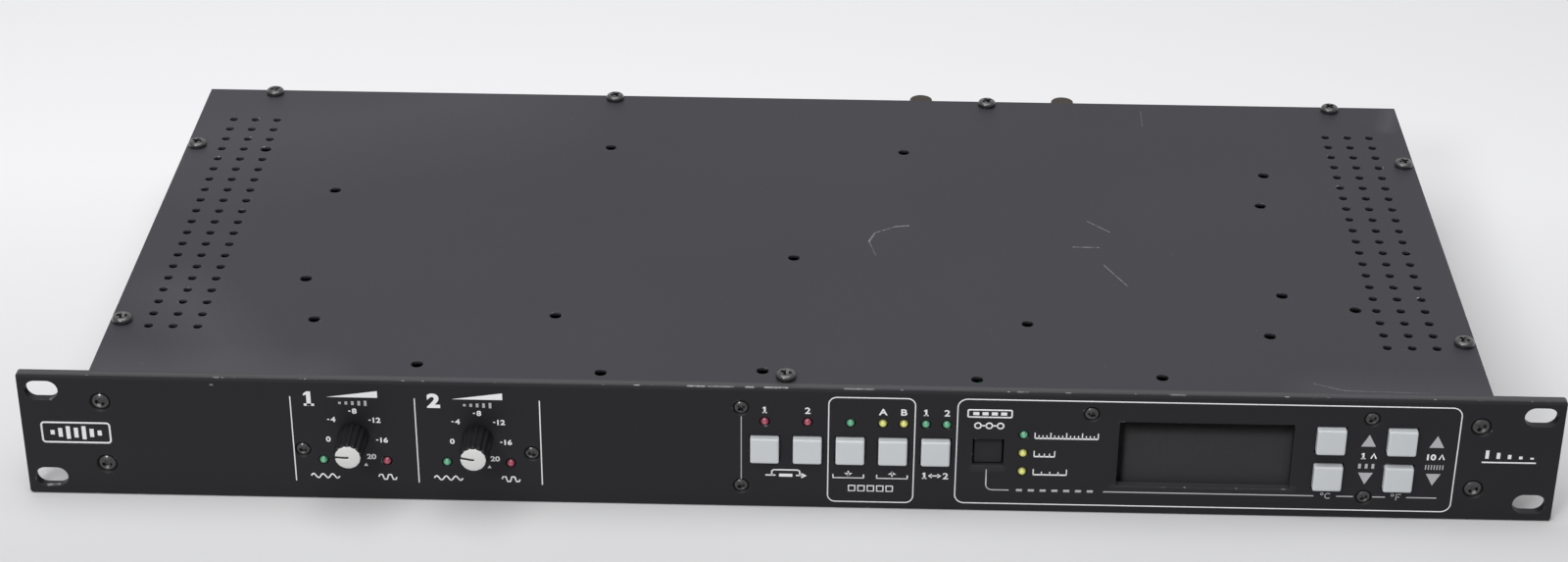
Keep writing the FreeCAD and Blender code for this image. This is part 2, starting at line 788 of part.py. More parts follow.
def make_bracket():
    """The small angle behind the panel that takes the cover's front screw."""
    body = new_body("bracket")
    profile = new_sketch(body, "YZ_Plane", "cover_front_x")
    back = PANEL_BACK
    add_outline(profile, [
        (back, f"{COVER_SEAT} - bracket_leg"),
        (f"{back} + sheet_thickness", f"{COVER_SEAT} - bracket_leg"),
        (f"{back} + sheet_thickness", f"{COVER_SEAT} - sheet_thickness"),
        (f"{back} + bracket_leg", f"{COVER_SEAT} - sheet_thickness"),
        (f"{back} + bracket_leg", COVER_SEAT),
        (back, COVER_SEAT),
    ])
    pad(body, profile, "bracket_length", both_ways=True)
    hole = new_sketch(body, "XY_Plane", COVER_SEAT)
    add_circle(hole, *BRACKET_SCREW, SCREW_HOLE)
    cut_down(body, hole, "2 * sheet_thickness")
    keep(body, "cover_bracket")


# ---------------------------------------------------------------- screws and spacers
def pan_screw(name, head, height, shank, length):
    """A pan-head screw that seats at height zero and reaches down."""
    return turned_body(name, [
        ("0", f"-({length})"),
        (f"{shank} / 2", f"-({length})"),
        (f"{shank} / 2", "0"),
        (f"{head} / 2", "0"),
        (f"{head} / 2", f"{height} * 0.45", f"{height} * 0.9"),
        (f"{head} / 2 - {height} * 0.55", height),
        ("0", height),
    ])


def flat_screw(name, sink, shank, length):
    """A countersunk screw whose face lies just below height zero."""
    return turned_body(name, [
        ("0", f"-({length})"),
        (f"{shank} / 2", f"-({length})"),
        (f"{shank} / 2", f"{shank} / 2 + sink_gap - {sink} / 2"),
        (f"{sink} / 2 - sink_gap - sink_recess", "-sink_recess"),
        ("0", "-sink_recess"),
    ])


def make_fasteners():
    large = ("screw_head_diameter", "screw_head_height", "screw_diameter")
    small = ("small_head_diameter", "small_head_height", "small_screw_diameter")
    machine_screw = pan_screw("machine_screw", *large, "screw_length")
    group(machine_screw, "cover_screws", place, [(x, y, "chassis_height") for x, y in COVER_SCREWS])
    ear_screw = flat_screw("ear_screw", "sink_diameter", "screw_diameter",
                           "panel_thickness + 2 * sheet_thickness")
    group(ear_screw, "panel_side_screws", place_front,
          [(x, height, "panel_thickness") for x, height in EAR_SCREWS])

    behind_panel = LEVEL_SCREWS + CONTROL_SCREWS
    front_screw = flat_screw("front_screw", "small_sink_diameter", "small_screw_diameter",
                             "panel_thickness + board_gap * 0.45")
    group(front_screw, "board_screws_front", place_front,
          [(x, height, "panel_thickness") for x, height in behind_panel])
    rear_screw = pan_screw("rear_screw", *small, "board_thickness + board_gap * 0.45")
    group(rear_screw, "board_screws_rear", place_rear,
          [(x, height, f"{PANEL_BACK} - {REAR_FACE} + board_gap + board_thickness")
           for x, height in behind_panel])
    spacer = turned_body("spacer", [
        (f"({SMALL_HOLE}) / 2", "0"),
        ("spacer_diameter / 2", "0"),
        ("spacer_diameter / 2", "board_gap"),
        (f"({SMALL_HOLE}) / 2", "board_gap"),
    ])
    group(spacer, "board_spacers", place_front, [(x, height, "-board_gap") for x, height in behind_panel])

    corners = main_board_corners()
    main_screw = pan_screw("main_screw", *small, "board_thickness + standoff_height * 0.6")
    group(main_screw, "main_board_screws", place, [(x, y, BOARD_TOP) for x, y in corners])
    standoff = turned_body("standoff", [
        ("0", "0"),
        ("standoff_diameter / 2", "0"),
        ("standoff_diameter / 2", "standoff_height"),
        (f"({SMALL_HOLE}) / 2", "standoff_height"),
        (f"({SMALL_HOLE}) / 2", "standoff_height * 0.3"),
        ("0", "standoff_height * 0.3"),
    ])
    group(standoff, "main_board_standoffs", place, [(x, y, "sheet_thickness") for x, y in corners])

    wall_screw = pan_screw("wall_screw", *small, "xlr_flange_thickness + 3 * sheet_thickness")
    places = [(x, height, "0") for x, height in REAR_SCREWS]
    for index in (*XLR_INPUTS.values(), *XLR_OUTPUTS.values()):
        for side in (-1, 1):
            places.append((f"{connector_x(index)} + {side} * xlr_screw_spacing / 2",
                           f"xlr_height + {side} * xlr_screw_rise / 2", "xlr_flange_thickness"))
    group(wall_screw, "rear_wall_screws", place_rear, places)


# ---------------------------------------------------------------- boards
MAIN_FRONT = f"({PANEL_BACK} + board_gap + board_thickness + main_board_front_gap)"
MAIN_REAR = f"({REAR_FACE} - sheet_thickness - main_board_rear_gap)"


def main_board_corners():
    reach = "(main_board_width / 2 - standoff_inset)"
    return [(f"{side} * {reach}", y) for side in (-1, 0, 1)
            for y in (f"{MAIN_FRONT} + standoff_inset", f"{MAIN_REAR} - standoff_rear_inset")]


def make_upright_board(label, left, right, screws):
    """A board that stands behind the panel on its spacers."""
    body = new_body(label)
    plate = new_sketch(body)
    add_rectangle(plate, f"({left} + {right}) / 2", "(board_bottom + board_top) / 2",
                  f"{right} - {left}", "board_top - board_bottom")
    for x, height in screws:
        add_circle(plate, x, height, SMALL_HOLE)
    pad(body, plate, "board_thickness")
    place_front(body, out="-board_gap - board_thickness")
    keep(body, label)


def make_main_board():
    body = new_body("main_board_body")
    plate = new_sketch(body)
    add_rectangle(plate, "0", f"({MAIN_FRONT} + {MAIN_REAR}) / 2", "main_board_width",
                  f"{MAIN_REAR} - {MAIN_FRONT}")
    for x, y in main_board_corners():
        add_circle(plate, x, y, SMALL_HOLE)
    pad(body, plate, "board_thickness")
    place(body, z=f"{BOARD_TOP} - board_thickness")
    keep(body, "main_board")


def block(name, width, depth, height):
    """A plain block centred on its own origin in plan, standing on it."""
    body = new_body(name)
    plan = new_sketch(body)
    add_rectangle(plan, "0", "0", width, depth)
    pad(body, plan, height)
    return body


def make_components():
    chip = block("chip", "chip_size", "chip_size", "chip_thickness")
    group(chip, "signal_chips", place,
          [(f"chip_first_x + {index} * chip_pitch", "chip_y", BOARD_TOP) for index in range(4)])
    can = turned_body("capacitor", [
        ("0", "0"),
        ("capacitor_diameter / 2", "0"),
        ("capacitor_diameter / 2", "capacitor_height"),
        ("0", "capacitor_height"),
    ])
    group(can, "power_capacitors", place,
          [(f"capacitor_first_x + {index} * capacitor_pitch", "capacitor_y", BOARD_TOP)
           for index in range(4)])
    sink = new_body("heatsink_body")
    plan = new_sketch(sink)
    add_rectangle(plan, "0", "0", "heatsink_width", "heatsink_base")
    pad(sink, plan, "heatsink_height")
    fin_plan = new_sketch(sink)
    add_rectangle(fin_plan, "(heatsink_fin_thickness - heatsink_width) / 2",
                  "(heatsink_base + heatsink_fin_depth) / 2", "heatsink_fin_thickness",
                  "heatsink_fin_depth")
    fin = pad(sink, fin_plan, "heatsink_height")
    fins = sink.newObject("PartDesign::LinearPattern", "heatsink_pattern")
    fins.Originals = [fin]
    fins.Direction = (origin_feature(sink, "X_Axis"), [""])
    fins.setExpression("Length", bound("heatsink_width - heatsink_fin_thickness"))
    fins.setExpression("Occurrences", bound("heatsink_fins"))
    sink.Tip = fins
    place(sink, "heatsink_x", "heatsink_y", BOARD_TOP)
    keep(sink, "heatsink")
    regulator = block("regulator", "regulator_width", "regulator_thickness", "regulator_height")
    group(regulator, "voltage_regulators", place,
          [(f"heatsink_x + {index} * regulator_pitch",
            "heatsink_y - (heatsink_base + regulator_thickness) / 2", BOARD_TOP) for index in (-1, 0, 1)])
    header = block("header", "header_width",
                   "main_board_front_gap + header_thickness", "header_thickness")
    group(header, "board_headers", place,
          [(x, f"{MAIN_FRONT} + (header_thickness - main_board_front_gap) / 2", BOARD_TOP)
           for x in ("level_header_x", "control_header_x")])


# ---------------------------------------------------------------- knobs and potentiometers
def make_knob(index):
    """A fluted knob: turned, bored for its shaft and for its cap, then fluted all round."""
    body = turned_body(f"knob_body_{index}", [
        ("0", "0"),
        ("knob_base_diameter / 2", "0"),
        ("knob_front_diameter / 2", "knob_length"),
        ("0", "knob_length"),
    ])
    flute_sketch = new_sketch(body)
    add_circle(flute_sketch, "(knob_base_diameter + flute_diameter) / 2 - flute_depth", "0", "flute_diameter")
    flute = cut_through(body, flute_sketch)
    flutes = body.newObject("PartDesign::PolarPattern", f"flutes_{index}")
    flutes.Originals = [flute]
    flutes.Axis = (origin_feature(body, "Z_Axis"), [""])
    flutes.Angle = 360
    flutes.setExpression("Occurrences", bound("knob_flutes"))
    body.Tip = flutes
    seat = new_sketch(body, "XY_Plane", "knob_length")
    add_circle(seat, "0", "0", "knob_cap_diameter + 2 * running_gap")
    cut_down(body, seat, "knob_cap_thickness - knob_cap_crown")
    socket = new_sketch(body, "XY_Plane", "shaft_reach - knob_gap + running_gap")
    add_circle(socket, "0", "0", "shaft_diameter + 2 * running_gap")
    cut_down(body, socket, "knob_length")
    place_front(body, knob_x(index), "knob_height", "panel_thickness + knob_gap")
    keep(body, f"knob_{index + 1}")


def make_knob_cap(index):
    """The pale cap: a crowned disc with a pointer groove from its centre to its rim."""
    crown_radius = "(knob_cap_diameter^2 / 4 + knob_cap_crown^2) / (2 * knob_cap_crown)"
    body = turned_body(f"cap_body_{index}", [
        ("0", "0"),
        ("knob_cap_diameter / 2", "0"),
        ("knob_cap_diameter / 2", "knob_cap_thickness - knob_cap_crown", crown_radius),
        ("0", "knob_cap_thickness"),
    ])
    groove = new_sketch(body, "XY_Plane", "knob_cap_thickness")
    add_rectangle(groove, "(pointer_width - knob_cap_diameter) / 2", "0", "knob_cap_diameter",
                  "pointer_width")
    cut_down(body, groove, "knob_cap_crown + pointer_depth")
    place_front(body, knob_x(index), "knob_height",
                "panel_thickness + knob_gap + knob_length - knob_cap_thickness + knob_cap_crown",
                turn=index * number("pointer_turn"))
    keep(body, f"knob_cap_{index + 1}")


def make_potentiometer(index):
    """The potentiometer on the level board, with a bushing in the panel and a shaft through it."""
    front = "(board_gap - pot_depth)"
    body = new_body(f"pot_{index}")
    case = new_sketch(body)
    add_rectangle(case, "0", "0", "pot_width", "pot_height")
    pad(body, case, "pot_depth")
    bushing = new_sketch(body)
    add_circle(bushing, "0", "0", "bushing_diameter")
    pad(body, bushing, f"pot_depth + {front} + panel_thickness")
    bore = new_sketch(body, "XY_Plane", "2 * pot_depth + panel_thickness")
    add_circle(bore, "0", "0", "shaft_diameter + 2 * running_gap")
    cut_down(body, bore, "1.6 * pot_depth + panel_thickness")
    place_front(body, knob_x(index), "knob_height", "-board_gap")
    keep(body, f"potentiometer_{index + 1}")

    shaft = new_body(f"shaft_{index}")
    rod = new_sketch(shaft)
    add_circle(rod, "0", "0", "shaft_diameter")
    pad(shaft, rod, "board_gap - pot_depth / 2 + panel_thickness + shaft_reach")
    flat = new_sketch(shaft, "XY_Plane", "board_gap - pot_depth / 2 + panel_thickness + shaft_reach")
    add_rectangle(flat, "0", "shaft_diameter * 0.8", "2 * shaft_diameter", "shaft_diameter")
    cut_down(shaft, flat, "shaft_reach - knob_gap")
    place_front(shaft, knob_x(index), "knob_height", "pot_depth / 2 - board_gap")
    keep(shaft, f"pot_shaft_{index + 1}")


# ---------------------------------------------------------------- buttons and lamps
def make_button(label, x, height, rise):
    """A moulded key: rounded face, hollow back, a skirt that holds it in the panel, and a stem."""
    depth = f"({rise} + panel_thickness + button_travel + button_skirt)"
    reach = "(board_gap - switch_depth - button_travel - button_skirt + stem_engagement)"
    body = new_body(label)
    skirt = new_sketch(body)
    add_rounded(skirt, "0", "0", "button_size + 2 * button_gap + 2 * button_skirt_lip",
                "button_size + 2 * button_gap + 2 * button_skirt_lip", "button_corner")
    pad(body, skirt, "button_skirt")
    face = new_sketch(body)
    add_rounded(face, "0", "0", "button_size", "button_size", "button_corner")
    pad(body, face, depth)
    hollow = new_sketch(body, "XY_Plane", f"{depth} - button_wall")
    add_rectangle(hollow, "0", "0", "button_size - 2 * button_wall", "button_size - 2 * button_wall")
    cut_down(body, hollow, depth)
    stem = new_sketch(body, "XY_Plane", f"-{reach}")
    add_circle(stem, "0", "0", "stem_diameter")
    pad(body, stem, f"{reach} + {depth} - button_wall / 2")
    place_front(body, x, height, "-button_travel - button_skirt")
    keep(body, label)


def make_buttons():
    for label, (x, height) in BUTTONS.items():
        make_button(label, x, height, "button_rise")
    make_button("mode_button", "mode_button_x", MODE_HEIGHT, "(-mode_button_recess)")
    switch = new_body("switch")
    case = new_sketch(switch)
    add_rectangle(case, "0", "0", "switch_width", "switch_width")
    pad(switch, case, "switch_depth")
    well = new_sketch(switch, "XY_Plane", "switch_depth")
    add_circle(well, "0", "0", "stem_diameter + 2 * running_gap")
    cut_down(switch, well, "stem_engagement + 2 * button_travel")
    places = [*BUTTONS.values(), ("mode_button_x", MODE_HEIGHT)]
    group(switch, "key_switches", place_front, [(x, height, "-board_gap") for x, height in places])


def make_lamps():
    """Round lamps whose domes stand in the panel and whose leads reach the board."""
    shoulder = "(board_gap - lamp_seat_gap)"
    back = f"({shoulder} - lamp_flange_thickness)"
    tip = "(board_gap + panel_thickness + lamp_rise)"
    lamp = turned_body("lamp", [
        ("0", back),
        ("lamp_flange_diameter / 2", back),
        ("lamp_flange_diameter / 2", shoulder),
        ("lamp_diameter / 2", shoulder),
        ("lamp_diameter / 2", f"{tip} - lamp_diameter / 2", "lamp_diameter / 2"),
        ("0", tip),
    ])
    leads = new_sketch(lamp)
    for side in (-1, 1):
        add_circle(leads, f"{side} * lamp_lead_spacing / 2", "0", "lamp_lead_diameter")
    pad(lamp, leads, shoulder)
    for label, places in LAMPS.items():
        group(lamp, label, place_front, [(x, height, "-board_gap") for x, height in places])


def make_display():
    """The dark window behind the panel and the numeral module on the board."""
    lens = new_body("lens")
    outline = new_sketch(lens)
    add_rectangle(outline, "window_x", "window_height", "window_width + 2 * lens_margin",
                  "window_rise + 2 * lens_margin")
    pad(lens, outline, "lens_thickness")
    place_front(lens, out="-lens_thickness")
    keep(lens, "display_lens")
    module = new_body("module")
    outline = new_sketch(module)
    add_rectangle(outline, "window_x", "window_height", "display_width", "display_rise")
    pad(module, outline, "board_gap - lens_thickness - display_gap")
    place_front(module, out="-board_gap")
    keep(module, "display_module")


# ---------------------------------------------------------------- rear connectors
def make_xlr(label, index, latched):
    """A panel connector: flange, neck through the wall, and a body that stands on the board."""
    body = new_body(label)
    flange = new_sketch(body)
    add_rounded(flange, "0", "0", "xlr_flange_width", "xlr_flange_rise", "xlr_flange_corner")
    pad(body, flange, "xlr_flange_thickness")
    neck = new_sketch(body, "XY_Plane", "-sheet_thickness")
    add_circle(neck, "0", "0", "xlr_neck_diameter")
    pad(body, neck, "sheet_thickness + xlr_flange_thickness / 2")
    case = new_sketch(body, "XY_Plane", "-xlr_body_depth")
    foot = f"({BOARD_TOP} - xlr_height)"
    add_rectangle(case, "0", f"({foot} + xlr_neck_diameter / 2) / 2", "xlr_body_width",
                  f"xlr_neck_diameter / 2 - {foot}")
    pad(body, case, "xlr_body_depth - sheet_thickness")
    socket = new_sketch(body, "XY_Plane", "xlr_flange_thickness")
    add_circle(socket, "0", "0", "xlr_bore_diameter")
    cut_down(body, socket, "xlr_bore_depth")
    holes = new_sketch(body, "XY_Plane", "xlr_flange_thickness")
    for side in (-1, 1):
        add_circle(holes, f"-{side} * xlr_screw_spacing / 2", f"{side} * xlr_screw_rise / 2", SMALL_HOLE)
    cut_down(body, holes, "xlr_flange_thickness + 3 * sheet_thickness + screw_clearance")
    if latched:
        notch = new_sketch(body, "XY_Plane", "xlr_flange_thickness")
        add_rectangle(notch, "0", "latch_offset - latch_gap + xlr_flange_rise / 2",
                      "latch_width + 2 * latch_gap", "xlr_flange_rise")
        cut_down(body, notch, "xlr_flange_thickness")
    place_rear(body, connector_x(index), "xlr_height")
    keep(body, label)


def contact_spots(index):
    """The three contacts of a connector, on a circle below its centre line."""
    spots = []
    for angle in (-150, -30, 90):
        across = round(math.cos(math.radians(angle)), 6)
        up = round(-math.sin(math.radians(angle)), 6)
        spots.append((f"{connector_x(index)} + {across} * xlr_pin_circle / 2",
                      f"xlr_height + {up} * xlr_pin_circle / 2"))
    return spots


def make_latch(label, index):
    """The release lever: a tongue with a round thumb end that slides in above the socket."""
    body = new_body(label)
    plan = new_sketch(body)
    add_outline(plan, [
        ("-latch_width / 2", "-latch_tail"),
        ("latch_width / 2", "-latch_tail"),
        ("latch_width / 2", "latch_reach - latch_width * 0.4", "latch_width * 0.5125"),
        ("-latch_width / 2", "latch_reach - latch_width * 0.4"),
    ])
    pad(body, plan, "latch_thickness")
    place(body, connector_x(index), REAR_FACE, "xlr_height + latch_offset")
    keep(body, label)


def make_jack(label, index):
    """A quarter-inch jack: body on the board, threaded bushing through the wall, one bore."""
    body = new_body(label)
    case = new_sketch(body, "XY_Plane", "-jack_body_depth - sheet_thickness")
    add_rectangle(case, "0", f"({BOARD_TOP} + jack_body_top) / 2 - jack_height", "jack_body_width",
                  f"jack_body_top - {BOARD_TOP}")
    pad(body, case, "jack_body_depth")
    bushing = new_sketch(body, "XY_Plane", "-2 * sheet_thickness")
    add_circle(bushing, "0", "0", "jack_bushing_diameter")
    pad(body, bushing, "2 * sheet_thickness + jack_bushing_length")
    bore = new_sketch(body, "XY_Plane", "jack_bushing_length")
    add_circle(bore, "0", "0", "jack_bore_diameter")
    cut_down(body, bore, "jack_bore_depth")
    place_rear(body, connector_x(index), "jack_height")
    keep(body, label)


def make_inlet():
    """The low-voltage supply inlet: a square modular socket that stands on the board."""
    body = new_body("inlet")
    case = new_sketch(body, "XY_Plane", "-inlet_depth")
    add_rectangle(case, "0", f"(inlet_top + {BOARD_TOP}) / 2", "inlet_width", f"inlet_top - {BOARD_TOP}")
    pad(body, case, "inlet_depth + inlet_rise")
    cavity = new_sketch(body, "XY_Plane", "inlet_rise")
    floor = f"({BOARD_TOP} + inlet_floor)"
    add_rectangle(cavity, "0", f"{floor} + inlet_cavity_rise / 2", "inlet_cavity_width",
                  "inlet_cavity_rise")
    cut_down(body, cavity, "inlet_cavity_depth")
    place_rear(body, "inlet_x")
    keep(body, "supply_inlet")


def make_connectors():
    for number_text, index in XLR_INPUTS.items():
        make_xlr(f"xlr_input_{number_text}", index, latched=True)
        make_latch(f"xlr_latch_{number_text}", index)
    for number_text, index in XLR_OUTPUTS.items():
        make_xlr(f"xlr_output_{number_text}", index, latched=False)

    insert_length = "(xlr_bore_depth - xlr_insert_recess)"
    insert = new_body("insert")
    disc = new_sketch(insert)
    add_circle(disc, "0", "0", "xlr_insert_diameter")
    for angle in (-150, -30, 90):
        across = round(math.cos(math.radians(angle)), 6)
        up = round(math.sin(math.radians(angle)), 6)
        add_circle(disc, f"{across} * xlr_pin_circle / 2", f"{up} * xlr_pin_circle / 2",
                   "xlr_contact_diameter")
    pad(insert, disc, insert_length)
    sink = "xlr_flange_thickness - xlr_bore_depth"
    group(insert, "input_inserts", place_rear,
          [(connector_x(index), "xlr_height", sink) for index in XLR_INPUTS.values()])
    pin = turned_body("pin", [
        ("0", "0"),
        ("xlr_pin_diameter / 2", "0"),
        ("xlr_pin_diameter / 2", f"{insert_length} - xlr_pin_diameter / 3"),
        ("xlr_pin_diameter / 6", insert_length),
        ("0", insert_length),
    ])
    spots = [spot for index in XLR_OUTPUTS.values() for spot in contact_spots(index)]
    group(pin, "output_pins", place_rear, [(x, height, sink) for x, height in spots])

    for label, index in JACKS.items():
        make_jack(label, index)
    nut = new_body("jack_nut")
    hexagon = new_sketch(nut)
    corner = f"({1 / math.sqrt(3):.6f} * jack_nut_width)"
    add_outline(hexagon, [
        (f"{round(math.cos(math.radians(60 * turn)), 6)} * {corner}",
         f"{round(math.sin(math.radians(60 * turn)), 6)} * {corner}") for turn in range(6)
    ])
    add_circle(hexagon, "0", "0", "jack_bushing_diameter + 2 * running_gap")
    pad(nut, hexagon, "jack_nut_thickness")
    group(nut, "jack_nuts", place_rear,
          [(connector_x(index), "jack_height", "0") for index in JACKS.values()])
    make_inlet()

    ground = pan_screw("ground_body", "screw_head_diameter", "screw_head_height", "screw_diameter",
                       "screw_length + washer_thickness")
    washer = new_sketch(ground)
    add_circle(washer, "0", "0", "washer_diameter")
    seat = ground.newObject("PartDesign::Pad", "washer_pad")
    seat.Profile = washer
    seat.Reversed = True
    seat.setExpression("Length", bound("washer_thickness"))
    place_rear(ground, "ground_x", "ground_height", "washer_thickness")
    keep(ground, "ground_screw")


# ---------------------------------------------------------------- build, check and write
def check_document():
    """Stop on any failed object and on any sub-part that is empty or not a valid solid."""
    for item in doc.Objects:
        if {"Invalid", "Error"} & set(item.State):
            raise RuntimeError(f"{item.Name} failed: {item.State}")
    for item in subparts:
        if item.Shape.isNull() or not item.Shape.Solids or not item.Shape.isValid():
            raise RuntimeError(f"{item.Label} is not a valid solid")


make_front_panel()
make_tray()
make_rear_panel()
make_cover()
make_bracket()
make_fasteners()
make_upright_board("level_board", "level_board_left", "level_board_right", LEVEL_SCREWS)
make_upright_board("control_board", "control_board_left", "control_board_right", CONTROL_SCREWS)
make_main_board()
make_components()
for knob_index in range(2):
    make_knob(knob_index)
    make_knob_cap(knob_index)
    make_potentiometer(knob_index)
make_buttons()
make_lamps()
make_display()
make_connectors()
doc.recompute()
check_document()

os.makedirs("parts", exist_ok=True)
for item in subparts:
    item.Shape.exportStep(os.path.join("parts", f"{item.Label}.step"))
    print(f"{item.Label:24s} {len(item.Shape.Solids):3d} solids {item.Shape.Volume:10.1f} mm3")
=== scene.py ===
from math import acos, cos, degrees, pi, radians, sin

import bmesh
import bpy
from bpy.props import FloatProperty, FloatVectorProperty, IntProperty, PointerProperty
from mathutils import Euler, Matrix, Vector


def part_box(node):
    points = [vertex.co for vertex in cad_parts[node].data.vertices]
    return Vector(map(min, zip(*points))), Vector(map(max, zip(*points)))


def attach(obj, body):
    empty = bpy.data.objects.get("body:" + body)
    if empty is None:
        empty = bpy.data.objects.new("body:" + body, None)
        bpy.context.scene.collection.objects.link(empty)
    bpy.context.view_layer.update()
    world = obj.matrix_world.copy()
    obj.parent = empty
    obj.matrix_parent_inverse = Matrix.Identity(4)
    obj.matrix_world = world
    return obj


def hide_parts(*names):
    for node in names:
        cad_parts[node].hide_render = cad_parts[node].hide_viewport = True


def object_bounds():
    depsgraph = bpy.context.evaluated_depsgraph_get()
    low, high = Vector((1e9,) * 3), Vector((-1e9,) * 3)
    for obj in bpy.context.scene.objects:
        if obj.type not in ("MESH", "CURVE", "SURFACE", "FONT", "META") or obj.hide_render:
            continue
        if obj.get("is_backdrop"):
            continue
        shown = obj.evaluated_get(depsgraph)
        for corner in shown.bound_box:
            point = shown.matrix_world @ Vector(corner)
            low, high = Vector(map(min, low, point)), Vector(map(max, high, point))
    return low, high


bl_info = {
    "name": "Rack effects unit",
    "version": (1, 0, 0),
    "blender": (4, 5, 0),
    "location": "View3D > Sidebar > Rack unit",
    "description": "Finishes a one-unit rack effects unit piece by piece and sets up its studio stage",
    "category": "Object",
}

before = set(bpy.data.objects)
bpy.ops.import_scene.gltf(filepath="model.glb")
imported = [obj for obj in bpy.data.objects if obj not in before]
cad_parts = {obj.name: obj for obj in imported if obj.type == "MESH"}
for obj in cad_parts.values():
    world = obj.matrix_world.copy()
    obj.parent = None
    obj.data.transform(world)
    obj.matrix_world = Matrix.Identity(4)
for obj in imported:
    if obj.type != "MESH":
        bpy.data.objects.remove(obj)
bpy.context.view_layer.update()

MM = 0.001
MOTTLE_SIZE = 70 * MM
LENS_MARGIN = 2.0  # how far the panel hides the window's edge, in millimetres
CONE_SLOPE = (0.6, 0.8)  # share of a countersink wall's normal that points out of the panel
SHADOW = (0.001, 0.001, 0.001, 1.0)  # the dark in the bottom of holes and openings
UP = Vector((0, 0, 1))
TO_FRONT = Vector((0, -1, 0))
TO_REAR = Vector((0, 1, 0))
KNOBS = {"level_knob_1": ("knob_1", "knob_cap_1"), "level_knob_2": ("knob_2", "knob_cap_2")}
WHITE_KEYS = ("bypass_key_1", "bypass_key_2", "store_key", "recall_key", "channel_key",
              "coarse_up_key", "coarse_down_key", "fine_up_key", "fine_down_key")


# ---------------------------------------------------------------- settings
def length(name, millimetres, description):
    return FloatProperty(name=name, description=description, default=millimetres * MM,
                         min=0.0, precision=5, unit="LENGTH", subtype="DISTANCE")


def share(name, value, description):
    return FloatProperty(name=name, description=description, default=value,
                         min=0.0, max=1.0, subtype="FACTOR")


def colour(name, value, description):
    return FloatVectorProperty(name=name, description=description, default=value,
                               size=3, min=0.0, max=1.0, subtype="COLOR")


class StageSettings(bpy.types.PropertyGroup):
    floor_colour: colour("Floor", (0.74, 0.74, 0.75), "Colour of the paper sweep under the unit")
    # The darker paper in front is painted shade in place of the light's fall-off.
    floor_front: colour("Floor in front", (0.335, 0.335, 0.34), "Colour of the paper nearest the camera")
    world_colour: colour("Surroundings", (0.80, 0.80, 0.82), "Colour of the room's soft light")
    world_strength: FloatProperty(name="Surroundings strength", description="Level of the room's light",
                                  default=0.22, min=0.0, subtype="FACTOR")
    top_power: FloatProperty(name="Top light", description="Power of the softbox above and behind",
                             default=32.5, min=0.0, unit="POWER")
    key_power: FloatProperty(name="Key light", description="Power of the softbox at the upper left",
                             default=6.6, min=0.0, unit="POWER")
    camera_place: FloatVectorProperty(name="Camera place", description="Where the camera stands",
                                      default=(0.014677, -0.90712, 0.528513),
                                      unit="LENGTH", subtype="TRANSLATION")
    camera_turn: FloatVectorProperty(name="Camera turn", description="How the camera is turned",
                                     default=(radians(60.8773), radians(-0.3932), radians(1.3773)),
                                     unit="ROTATION", subtype="EULER")
    camera_lens: FloatProperty(name="Lens", description="Focal length on a 36 mm wide sensor",
                               default=69.68, unit="CAMERA")


class PaintSettings(bpy.types.PropertyGroup):
    panel_colour: colour("Panel paint", (0.0118, 0.0112, 0.0136), "Satin black of the front panel")
    cover_colour: colour("Cover paint", (0.0280, 0.0267, 0.0335), "Dulled black of the cover")
    case_colour: colour("Case paint", (0.0225, 0.0215, 0.0255), "Black of the tray and the rear wall")
    dust_colour: colour("Dust", (0.30, 0.30, 0.31), "Colour of dust and rubbed paint")
    metal_colour: colour("Bare metal", (0.62, 0.62, 0.63), "Colour where the paint is chipped off")
    grain: length("Grain", 0.55, "Size of the paint's fine grain")
    edge_round: length("Edge rounding", 0.22, "Rounding of the sheet metal's edges under the paint")
    shine: share("Shine", 0.24, "Strength of the paint's reflections")
    wear: share("Edge wear", 0.27, "How much of the edges is rubbed")


class PrintSettings(bpy.types.PropertyGroup):
    print_colour: colour("Print", (0.82, 0.82, 0.83), "Colour of the white print")
    grey_colour: colour("Grey print", (0.42, 0.42, 0.435), "Colour of the thinner grey print")
    line_width: length("Line width", 0.38, "Width of the frames and dividers")
    stroke_width: length("Stroke width", 0.5, "Width of the small signs' strokes")
    thickness: length("Ink thickness", 0.03, "How far the ink stands on the paint")
    digit_stretch: FloatProperty(name="Digit stretch", description="Widening of the numbers", default=1.18)
    digit_rise: length("Digit height", 2.3, "Height of the numbers over the lamps")
    dial_rise: length("Dial digit height", 1.9, "Height of the numbers round the dials")
    channel_rise: length("Channel digit height", 5.2, "Height of the two large channel numbers")
    dial_radius: length("Dial radius", 8.9, "Distance of the dial's numbers from the knob's axis")


class ScrewSettings(bpy.types.PropertyGroup):
    screw_colour: colour("Screw", (0.008, 0.008, 0.009), "Colour of the blackened screws")
    pan_height: length("Pan head height", 2.1, "Height of the cover screws' heads")
    small_pan_height: length("Small pan head height", 1.5, "Height of the small pan heads")
    sunk_height: length("Sunk head height", 1.6, "Depth of the panel screws' countersinks")
    small_sunk_height: length("Small sunk head height", 1.4, "Depth of the board screws' countersinks")
    shank: length("Shank radius", 1.75, "Radius of the cover and panel screws' shanks")
    small_shank: length("Small shank radius", 1.5, "Radius of the small screws' shanks")
    oval_share: share("Oval head", 0.87, "Radius of a sunk head as a share of its countersink")
    oval_curve: FloatProperty(name="Oval curve", description="Crown radius over a sunk head's radius",
                              default=1.62, min=1.0)
    cross_width: share("Cross width", 0.60, "Span of the cross recess as a share of the head")
    cross_arm: share("Cross arm", 0.19, "Thickness of one arm of the cross as a share of the head")
    seed: IntProperty(name="Seed", description="Seed of the way the crosses are turned", default=7)


